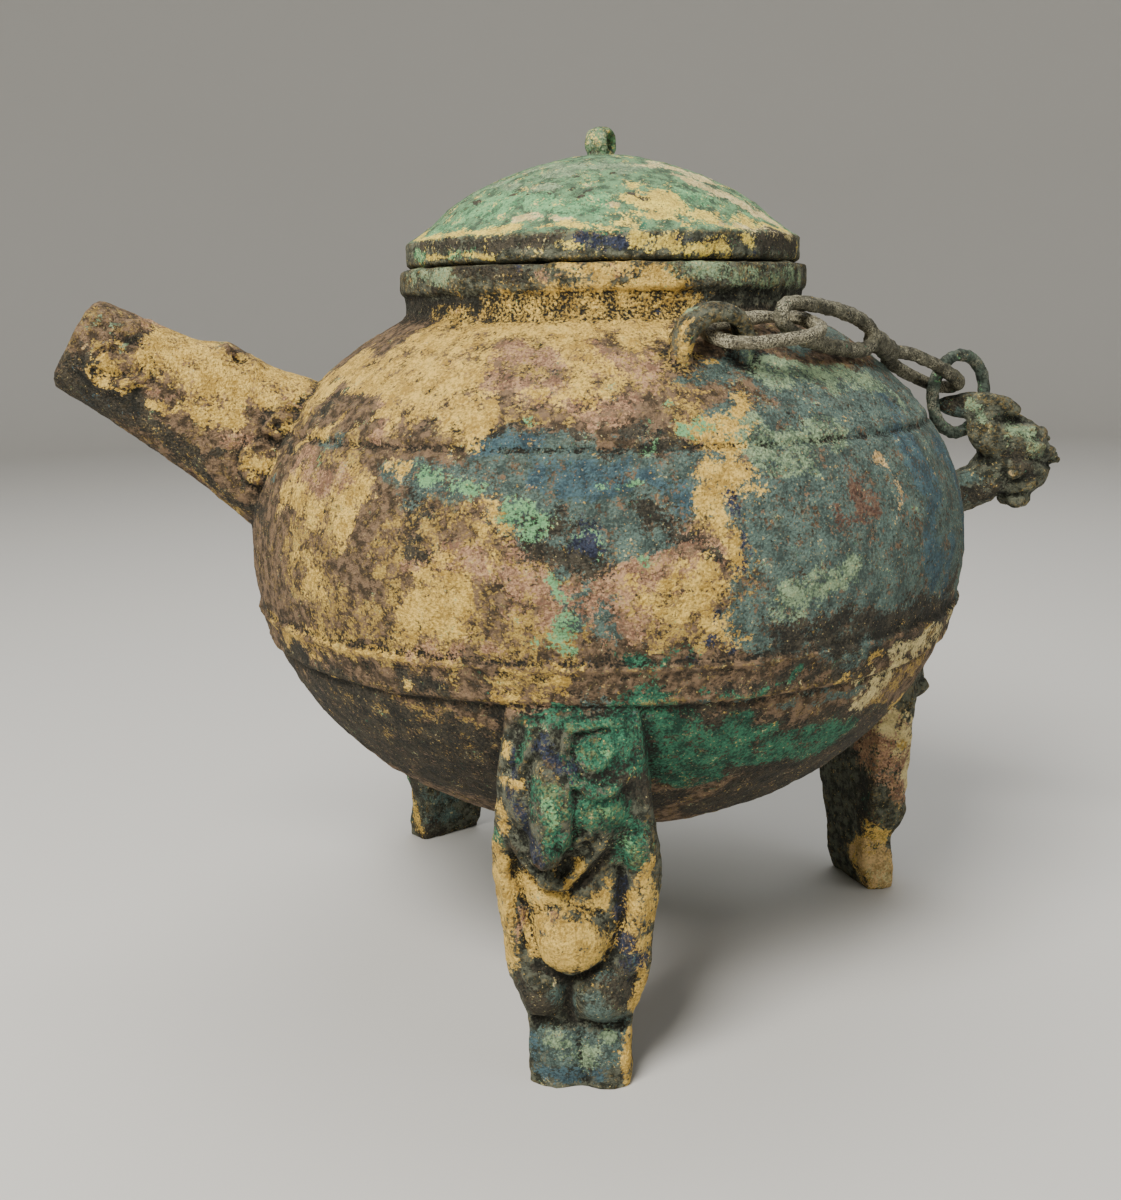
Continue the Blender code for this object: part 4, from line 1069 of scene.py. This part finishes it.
# %% Strokes on the front bear, in the units of its carving, with their reach in mm
BEAR_MARKS = {
    "earthy": (
        (-5.8, 42, 2.9, 42, 8), (-17, 60, -16, 36, 3.4), (-6, 52, 5, 51, 4), (15, 56, 13, 40, 3.2),
    ),
    "ochre": (
        (-18.6, 62, -17.4, 47, 3.2), (-17.4, 47, -16.3, 33, 3.2), (-12.8, 57, -9.3, 47, 3.4),
        (-5.8, 52, 4.7, 51, 3.2), (8.1, 57, 7, 51, 2), (-5.8, 42, 2.9, 42, 7), (14, 52, 12.8, 41, 3),
        (17.4, 61, 18.6, 47, 2.6), (-16.9, 76, -15.7, 70, 1.8), (-15, 82, -10, 82, 1.6),
        (-15, 90, -15, 89, 1.3), (-1, 57, 2.3, 63, 1.6), (16.3, 41, 14, 21, 1.6), (12.2, 14, 12.2, 1, 1.6),
    ),
    "rose": (
        (-5.2, 48, -7, 45, 2), (-13, 49, -14, 42, 1.6), (15.5, 57, 17, 55, 1.8), (-14, 99, -4, 100, 1.2),
    ),
    "green": (
        (-11.6, 98, 14, 99, 2), (-9.3, 97, -10.8, 88, 1.6), (3.5, 93, 9.3, 90, 4.5), (9.3, 97, 17, 87, 4),
        (-5.2, 83, -2.3, 70, 3.2), (2.9, 79, 9.3, 76, 5.2), (12.8, 70, 14, 64, 4.5),
        (-18.6, 68, -18.4, 66, 1.8), (-1, 92, 2, 84, 1.4), (2, 84, 10, 82, 1.6),
    ),
    "mint": (
        (7, 79, 9, 77, 1), (8, 92, 9, 91, 0.8), (-4.6, 81, -3.8, 76, 1.3), (12, 68, 13, 66, 1.2),
    ),
    "navy": (
        (-5.8, 93, 1.2, 88, 2.4), (-12.2, 79, -6.4, 68, 2.6), (11.6, 42, 14, 34, 3),
        (11, 57, 11.6, 47, 1.6), (-13, 91, -12, 84, 1.2),
    ),
    # Darker along the creases, and painted shadow under the belly's overhang.
    "dark_patina_and_shade": (
        (-6.6, 65, -5.6, 64, 3.2), (-14.5, 66, -9.3, 55, 1.3), (1.2, 57, 7.6, 65, 1.5),
        (-9.9, 33, -1.7, 30, 1.6), (-1.7, 30, 7, 34, 1.6), (-12.8, 26, -8, 22, 4), (9.3, 31, 12, 26, 3.5),
        (-13, 60, -12, 50, 0.9), (-2.2, 27, -2, 18, 1.2),
    ),
    "teal": (
        (-5, 26, -3, 24, 3), (4.7, 24, 7, 19, 4.5), (-9.9, 11, 9.3, 11, 5.5), (-4, 33, 8, 33, 1.4),
    ),
    "pale_green": (
        (1.7, 10, 3, 7, 3), (-6, 13, -4, 12, 2.4), (6, 14, 9, 12, 1.8),
    ),
    "blue": (
        (-8, 4, 5.8, 4, 2.8), (12, 40, 13, 36, 2.2), (-11, 14, -10, 8, 1.8),
    ),
    "rust": (
        (-6.8, 65.5, -6.2, 64.5, 1.5),
    ),
}

# %% Strokes on the lid
LID_MARKS = {
    "pale_green": (
        (-143, 225, 25, -52, 224, 27, 5.6), (-161, 221, 34, -124, 220, 36, 3.8),
        (-127, 234, 4, -103, 231, 4, 3.9),
    ),
    "mint": (
        (-158, 212, 47, -123, 214, 45, 5.1), (-144, 216, 42, -99, 213, 46, 4.5),
        (-71, 215, 43, -61, 215, 44, 3.4), (-54, 211, 49, -43, 211, 48, 1.8),
        (-137, 204, 55, -135, 204, 55, 1.2), (-145, 202, 55, -138, 202, 55, 1.4),
        (-164, 203, 55, -157, 202, 55, 2), (-106, 203, 55, -105, 204, 55, 1.2),
        (-65, 204, 55, -63, 204, 55, 1),
    ),
    "green": (
        (-100, 207, 54, -91, 207, 55, 1.5),
    ),
    "yellow": (
        (-85, 214, 44, -76, 213, 45, 5.2), (-83, 211, 48, -76, 210, 49, 3.4),
        (-166, 208.5, 52, -36, 208.5, 52, 2.4), (-92, 220, 35, -80, 217, 40, 2.2),
        (-113, 210, 50, -84, 209, 51, 2.1), (-76, 210, 49, -51, 208, 52, 2.6),
        (-153, 208, 53, -115, 209, 51, 1.3), (-131, 205, 55, -130, 202, 55, 1.4),
        (-113, 203, 55, -106, 203, 55, 1.2), (-155, 202, 55, -132, 202, 55, 0.7),
        (-91, 204, 55, -81, 203, 55, 2.2), (-77, 202, 55, -67, 203, 55, 1.9),
        (-62, 205, 55, -57, 204, 55, 1.2), (-99, 219, 38, -94, 218, 39, 1.2),
    ),
    "peach": (
        (-61, 224, 26, -47, 223, 30, 4.6), (-52, 219, 37, -42, 215, 44, 5), (-42, 215, 43, -36, 213, 46, 4.4),
        (-65, 207, 53, -35, 206, 55, 1.7), (-122, 211, 48, -94, 211, 49, 1.7),
    ),
    "navy": (
        (-106, 204, 55, -95, 203, 55, 2), (-103, 202, 55, -95, 201, 55, 0.8), (-81, 205, 55, -77, 205, 55, 1),
        (-56, 203, 55, -55, 202, 55, 0.7),
    ),
    "dark_patina_and_shade": (
        (-158, 205, 55, -114, 204, 55, 2.2), (-51, 204, 55, -30, 203, 55, 3),
        (-73, 204, 55, -63, 204, 55, 1.3), (-154, 218, 38, -114, 218, 39, 0.8),
        (-90, 217, 41, -86, 215, 43, 1.4), (-102, 222, 31, -89, 222, 31, 1),
        (-79, 220, 36, -77, 220, 36, 0.7), (-54, 215, 44, -53, 213, 46, 1.2),
        (-118, 213, 46, -116, 213, 46, 0.7), (-165, 222, 31, -64, 221, 32, 1),
        (-160, 216, 42, -110, 217, 41, 1), (-72, 220, 37, -50, 220, 37, 0.9), (-96, 229, 12, -60, 228, 16, 1),
    ),
    "rust": (
        (-113, 218, 39, -109, 218, 39, 0.8),
    ),
}

print("strokes", sum(len(rows) for rows in (*VESSEL_MARKS.values(), *LID_MARKS.values())))

# %% [markdown]
# Every point of a skin is told how deep it lies inside the strokes of each colour, in mm, and the
# finish reads that. The places are bent by noise first, so that no stroke keeps a straight edge.
# The back, which nobody has drawn, takes the same colours wherever a slow noise puts them. Points
# are also told how far they stand out of their surroundings, because earth lies on raised grain,
# and the finish also paints a highlight on the raised grain and shade into the hollows.

# %% Tell each point its colours


def stroke_parts(row):
    """Short straight parts of a stroke and its reach, in metres."""
    a0, h0, r0, a1, h1, r1, reach = row if len(row) == 7 else (*row[:2], None, *row[2:4], None, row[4])
    steps = max(1, math.ceil(abs(a1 - a0) / 9))
    ends = []
    for step in range(steps + 1):
        share = step / steps
        turn = math.radians(a0 + (a1 - a0) * share)
        z = (h0 + (h1 - h0) * share) * MM
        r = shell_radius(z) if r0 is None else (r0 + (r1 - r0) * share) * MM
        ends.append(np.array((AXIS.x + r * math.cos(turn), AXIS.y + r * math.sin(turn), z)))
    return list(zip(ends, ends[1:])), reach * MM


def depth_inside(places, rows):
    """How deep in mm each place lies inside the nearest stroke, below 0 outside; a thin stroke
    counts as one of at least 3.5 mm, so that it is as strong in its middle."""
    best = np.full(len(places), -9.0)
    for row in rows:
        parts, reach = stroke_parts(row)
        for start, end in parts:
            way = end - start
            along = np.clip((places - start) @ way / max(way @ way, 1e-9), 0.0, 1.0)
            far = np.linalg.norm(places - start - np.outer(along, way), axis=1)
            best = np.maximum(best, (1.0 - far / reach) * max(reach / MM, 3.5))
    return best


def on_bear(places):
    """Places in the units of the front bear's carving, and whether they are on its front."""
    turn = math.radians(LEG_AZIMUTHS[0])
    away = places - np.array(AXIS)
    side = away @ np.array([-math.sin(turn), math.cos(turn), 0.0]) / UNIT_SIDE
    front = away @ np.array([math.cos(turn), math.sin(turn), 0.0]) > LEG_FACE - 0.009
    return side, places[:, 2] / UNIT_UP, front & (places[:, 2] / UNIT_UP < 101.5)


def on_spout(places):
    """Places seen from the spout's side, in mm, and whether they are on it."""
    away = (places - np.array(AXIS)) / MM
    return away[:, 0], away[:, 2], (away[:, 0] < -74) & (np.abs(away[:, 1]) < 32)


def depth_flat(places, rows, view):
    """The same for strokes laid on a face that is seen straight on."""
    side, up, here = view(places)
    best = np.full(len(places), -9.0)
    for *ends, reach in rows:
        off, _ = off_line(side, up, ends[:2], ends[2:])
        best = np.maximum(best, (1.0 - off / reach) * max(reach, 3.5))
    return np.where(here, best, -9.0)


def noise_at(places, size, seed):
    """Smooth noise at each place, whose lumps have a given size in metres."""
    shift = Vector((seed * 3.7, seed * 1.9, seed * 2.3))
    return np.array([noise.noise(Vector(place) / size + shift) for place in places])


def bent(places, calm):
    """The places, shifted a few mm by noise, and less where calm is high."""
    moved = places.copy()
    for size, far in ((0.0130, 0.0060), (0.0036, 0.0026)):
        shift = np.array([noise.noise_vector(Vector(place) / size) for place in places])
        moved += far * shift * (1.0 - 0.65 * calm)[:, None]
    return moved


def stands_proud(ob, rounds=7, most=0.3):
    """How far each point stands out of its close surroundings, in mm, within a limit."""
    places = points_of(ob)
    count = len(places)
    ends = np.zeros(len(ob.data.edges) * 2, np.int32)
    ob.data.edges.foreach_get("vertices", ends)
    first, last = ends.reshape(-1, 2).T
    around = np.maximum(np.bincount(first, minlength=count) + np.bincount(last, minlength=count), 1)
    soft = places
    for _ in range(rounds):
        soft = np.stack([(np.bincount(first, soft[last, axis], count)
                          + np.bincount(last, soft[first, axis], count)) / around
                         for axis in range(3)], axis=1)
    return np.clip(((places - soft) * normals_of(ob)).sum(axis=1) / MM, -most, most)


def told(ob, name, values):
    """Stores one value for each point of a skin."""
    layer = ob.data.attributes.new(name, "FLOAT", "POINT")
    layer.data.foreach_set("value", values.astype(np.float32))


def told_colours(ob, marks, back, calm, faces=()):
    """Stores the depth inside the strokes of each colour, and the relief."""
    places = points_of(ob)
    moved = bent(places, calm)
    told(ob, "fittings", calm)
    towards = (places - np.array(AXIS)) @ np.array((-0.17, -0.98, 0.0))
    behind = 1.0 - smooth_step(towards, -0.012, 0.012)
    # the right leg and the hook are in view, apart from the sides that face away
    facing = normals_of(ob) @ np.array((-0.17, -0.98, 0.0))
    behind *= 1.0 - calm * (places[:, 0] - AXIS.x > 0.050) * smooth_step(facing, -0.35, 0.0)
    ragged = noise_at(moved, 0.0050, 30) * 0.30 + noise_at(moved, 0.0018, 31) * 0.16
    for seed, (name, rows) in enumerate(marks.items()):
        depth = depth_inside(moved, rows)
        for face_marks, view in faces:
            depth = np.maximum(depth, depth_flat(moved, face_marks.get(name, ()), view))
        if name in back:
            size, least, aside, upwards = back[name]
            lean = aside * (places[:, 0] - AXIS.x) / 0.1 + upwards * (places[:, 2] - 0.14) / 0.06
            slow = (noise_at(moved, size, seed + 1) + ragged + lean - least - 0.28 * calm) * 15.0
            depth = np.maximum(depth, np.where(behind > 0.02, slow * behind - 9.0 * (1 - behind), -9.0))
        told(ob, name, depth)
    told(ob, "relief", stands_proud(ob))
    print(ob.name, "knows", len(marks), "colours at", len(places), "points")


def fittings_share(places):
    """1 on legs, hook, lug, neck and rim, 0 on the round body and the spout."""
    away = places - np.array(AXIS)
    r = np.hypot(away[:, 0], away[:, 1])
    shell = np.array([shell_radius(z) for z in places[:, 2]])
    off = (r - shell) / MM
    leg = smooth_step(off, 1.2, 4.0) * (places[:, 2] < BAND_FOOT)
    hook = smooth_step(off, 3.0, 8.0) * (away[:, 0] > 0.05)
    lug = smooth_step(off, 1.5, 5.0) * (places[:, 2] > 0.170) * (away[:, 0] > 0.0)
    neck = smooth_step(places[:, 2], NECK_FOOT - 0.001, NECK_FOOT + 0.003) * (r < 0.062)
    return np.maximum.reduce([leg, hook, lug, neck])


# Each colour's lumps in metres, how rare it is, and how it leans to the hook and upwards
BACK = {"ochre": (0.020, 0.26, -0.14, 0.22), "earthy": (0.034, 0.08, -0.16, 0.12),
        "rose": (0.030, 0.10, -0.20, 0.10), "teal": (0.040, 0.02, 0.42, 0.0),
        "blue": (0.026, 0.20, 0.24, 0.0), "pale_green": (0.024, 0.30, 0.12, 0.08),
        "mint": (0.008, 0.44, 0.0, 0.0), "green": (0.024, 0.34, 0.0, -0.24),
        # The darkest colour leans downwards, as painted shade low on the back of the bowl over dark patina.
        "dark_patina_and_shade": (0.018, 0.36, 0.0, -0.30), "navy": (0.009, 0.46, 0.10, 0.0)}
LID_BACK = {"pale_green": (0.020, 0.05, 0.0, 0.0), "mint": (0.016, 0.0, 0.0, 0.0),
            "yellow": (0.014, 0.34, 0.0, 0.0), "peach": (0.020, 0.38, 0.0, 0.0),
            "dark_patina_and_shade": (0.010, 0.42, 0.0, 0.0)}

told_colours(vessel, VESSEL_MARKS, BACK, fittings_share(points_of(vessel)),
             ((BEAR_MARKS, on_bear), (SPOUT_MARKS, on_spout)))
lid_edge = 1.0 - smooth_step(points_of(lid)[:, 2], LID_EDGE_TOP - 0.0003, LID_EDGE_TOP + 0.0009)
told_colours(lid, LID_MARKS, LID_BACK, lid_edge)

# %% [markdown]
# ## The finishes
# Each colour is two tones mixed by fine grain. A layer covers most of the surface inside its
# strokes, crumbles at their edges and leaves a few specks beyond, and each layer has noise of its
# own, so the layers show through one another as they do in real earth and rust.

# %% Tones: the darker and the paler one of each colour
TONES = {
    "brown": ((0.064, 0.045, 0.026), (0.270, 0.176, 0.102)),
    "fittings": ((0.032, 0.036, 0.025), (0.150, 0.160, 0.112)),
    "earthy": ((0.262, 0.165, 0.045), (0.600, 0.405, 0.105)),
    "rose": ((0.245, 0.130, 0.078), (0.610, 0.365, 0.205)),
    "teal": ((0.050, 0.076, 0.066), (0.140, 0.212, 0.180)),
    "blue": ((0.032, 0.062, 0.078), (0.092, 0.168, 0.190)),
    "pale_green": ((0.105, 0.165, 0.098), (0.350, 0.470, 0.270)),
    "mint": ((0.055, 0.190, 0.086), (0.250, 0.510, 0.235)),
    "green": ((0.012, 0.060, 0.036), (0.065, 0.245, 0.138)),
    "navy": ((0.013, 0.017, 0.032), (0.055, 0.068, 0.112)),
    # dark patina, which also serves as painted shade low on the bowl, under the bears' bellies and in the hollows
    "dark_patina_and_shade": ((0.018, 0.018, 0.013), (0.085, 0.074, 0.052)),
    "ochre": ((0.500, 0.310, 0.062), (0.960, 0.660, 0.165)),
    "tan": ((0.034, 0.030, 0.020), (0.190, 0.170, 0.112)),
    "olive": ((0.024, 0.023, 0.015), (0.115, 0.110, 0.072)),
    "slate": ((0.014, 0.020, 0.014), (0.095, 0.125, 0.095)),
    "yellow": ((0.560, 0.400, 0.080), (0.960, 0.760, 0.150)),
    "peach": ((0.540, 0.430, 0.180), (0.900, 0.760, 0.370)),
    "rust": ((0.095, 0.050, 0.035), (0.220, 0.130, 0.085)),
    "orange": ((0.520, 0.330, 0.120), (0.900, 0.640, 0.290)),
}
SOOT = (0.016, 0.016, 0.012)


def three_noises(place, size, detail, shift):
    """Three noises that don't follow one another, each about -0.5 to 0.5."""
    moved = place.node("ShaderNodeVectorMath", {"operation": "ADD"}, {0: place, 1: (shift,) * 3})
    both = moved.node("ShaderNodeTexNoise", {}, {"Vector": moved, "Scale": 1.0 / size,
                                                 "Detail": detail, "Roughness": 0.6}, 1)
    return [both.node("ShaderNodeSeparateXYZ", {}, {0: both}, i) - 0.5 for i in range(3)]


def reading(place, name):
    return place.node("ShaderNodeAttribute", {"attribute_name": name}, {}, 2)


def layered(place, base, order, edge=3.2):
    """Lays the colours named in order over a base, each with a noise of its own."""
    fine = three_noises(place, 0.85, 4.0, 0.0) + three_noises(place, 0.70, 4.0, 40.0)
    lump = three_noises(place, 4.6, 4.0, 80.0)
    grain = (fine[3] * 2.4 + lump[0] * 2.2 + 0.5).smooth(0.10, 0.90)
    colour = base
    for i, (name, least) in enumerate(order):
        crumb = fine[i % 6] * 2.6 + lump[(i * 2 + i // 3) % 3] * 2.2
        here = (reading(place, name).smooth(-edge, edge) + crumb).smooth(least - 0.06, least + 0.26)
        colour = here.tint(colour, grain.tint(*TONES[name]))
    return colour, grain, fine, lump


def weathered_and_painted_light(place, colour, grain, fine, lump, deep, dust_and_highlight_share, calm=()):
    """Adds a dusting of earth on raised grain, which is also a painted highlight there, less of it on calm
    colours, then stray specks, and dark pitting that also paints shade into the hollows.
    """
    relief = reading(place, "relief")
    for name in ("dark_patina_and_shade", *calm):
        dust_and_highlight_share = dust_and_highlight_share * (1.0 - reading(place, name).smooth(-2.0, 2.0) * 0.85)
    # earthy tone on raised grain: dust, and a painted highlight where the grain stands out
    dust_and_highlight = (relief * 1.3 + fine[2] * 2.4 + lump[2] * 1.0).smooth(0.30, 0.70) * dust_and_highlight_share
    colour = dust_and_highlight.tint(colour, grain.tint(*TONES["earthy"]))
    colour = ((fine[0] - fine[4]) * 2.0).smooth(0.40, 0.62).tint(colour, TONES["peach"][0])
    # dark pitting from noise, and painted shade in the hollows and joints where the relief is low; deep is the
    # colour of both
    pit_and_hollow_shade = (fine[5] * 2.2 + relief * 1.4 + lump[1] * 0.8).smooth(-0.62, -0.10)
    return pit_and_hollow_shade.tint(deep, colour)


# %% Patina of the vessel
VESSEL_ORDER = (("earthy", 0.92), ("rose", 0.72), ("teal", 0.60), ("blue", 0.64), ("pale_green", 0.68),
                ("dark_patina_and_shade", 0.54), ("green", 0.60), ("ochre", 0.58), ("peach", 0.62), ("mint", 0.66), ("navy", 0.68),
                ("rust", 0.62), ("orange", 0.70))


def vessel_patina():
    finish, shader, place = new_finish("vessel_patina")
    mottle = place.noise(2.6, 4.0, 0.65).smooth(0.40, 0.62)
    base = mottle.tint(*TONES["brown"])
    base = reading(place, "fittings").tint(base, mottle.tint(*TONES["fittings"]))
    colour, grain, fine, lump = layered(place, base, VESSEL_ORDER)
    dust_and_highlight_share = 0.60 - reading(place, "fittings") * 0.30
    colour = weathered_and_painted_light(place, colour, grain, fine, lump, TONES["dark_patina_and_shade"][0], dust_and_highlight_share, ("teal", "blue"))
    set_shader(shader, colour, 0.74 + grain * 0.22, fine[5] * 1.4 + fine[2] * 0.8 + lump[1] * 1.2, 0.0011)
    return finish


# %% Patina of the lid
LID_ORDER = (("mint", 0.62), ("pale_green", 0.66), ("peach", 0.42), ("yellow", 0.42), ("dark_patina_and_shade", 0.56),
             ("green", 0.60), ("navy", 0.62), ("rust", 0.60))


def lid_patina():
    finish, shader, place = new_finish("lid_patina")
    mottle = place.noise(3.4, 5.0, 0.70).smooth(0.40, 0.60)
    base = mottle.tint((0.060, 0.105, 0.062), (0.180, 0.355, 0.170))
    base = reading(place, "fittings").tint(base, mottle.tint(*TONES["fittings"]))
    colour, grain, fine, lump = layered(place, base, LID_ORDER)
    colour = weathered_and_painted_light(place, colour, grain, fine, lump, TONES["dark_patina_and_shade"][1], 0.25 + grain * 0.0)
    set_shader(shader, colour, 0.74 + grain * 0.22, fine[5] * 1.2 + fine[2] * 0.6 + lump[1], 0.0008)
    return finish


# %% Finish of the chain


def chain_patina(name, metal, crust, least, speckle):
    finish, shader, place = new_finish(name)
    fine = three_noises(place, 0.8, 3.0, 0.0)
    lump = three_noises(place, 4.0, 3.0, 20.0)
    grain = place.noise(0.40, 2.0, 0.6).smooth(0.40, 0.60)
    colour = (fine[0] * 2.0 + lump[0] * 2.0).smooth(-0.4, 0.4).tint(*TONES[metal])
    colour = (grain * (lump[2] * 2.0 + speckle).smooth(0.0, 0.8)).tint(colour, (0.420, 0.390, 0.270))
    colour = (fine[1] * 2.2 + lump[1] * 2.0).smooth(least, least + 0.15).tint(colour, grain.tint(*TONES[crust]))
    colour = (fine[2] * 2.4).smooth(0.42, 0.55).tint(colour, TONES["earthy"][1])
    colour = (fine[1] * 1.8 + lump[2]).smooth(-0.60, -0.25).tint(SOOT, colour)
    set_shader(shader, colour, 0.55 + grain * 0.30, grain * 0.4 + fine[1] + lump[2], 0.0005)
    return finish


# %% Put the finishes on


def dress(piece, node, finish):
    """Gives a piece its finish, and lets it stand for its solid."""
    piece.data.materials.clear()
    piece.data.materials.append(finish)
    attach(piece, "root")
    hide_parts(node)


dress(vessel, "vessel", vessel_patina())
dress(lid, "lid", lid_patina())
dress(links["chain_link_a"], "chain_link_a", chain_patina("link_a_patina", "tan", "peach", 0.60, 0.55))
dress(links["chain_link_b"], "chain_link_b", chain_patina("link_b_patina", "olive", "green", 0.50, 0.30))
dress(links["chain_ring"], "chain_ring", chain_patina("ring_patina", "slate", "mint", 0.42, 0.15))

floor_finish = bpy.data.materials.new("pale_floor")
floor_finish.use_nodes = True
floor_finish.node_tree.nodes["Principled BSDF"].inputs["Base Color"].default_value = (0.60, 0.59, 0.56, 1.0)
floor_finish.node_tree.nodes["Principled BSDF"].inputs["Roughness"].default_value = 0.9
floor.data.materials.append(floor_finish)
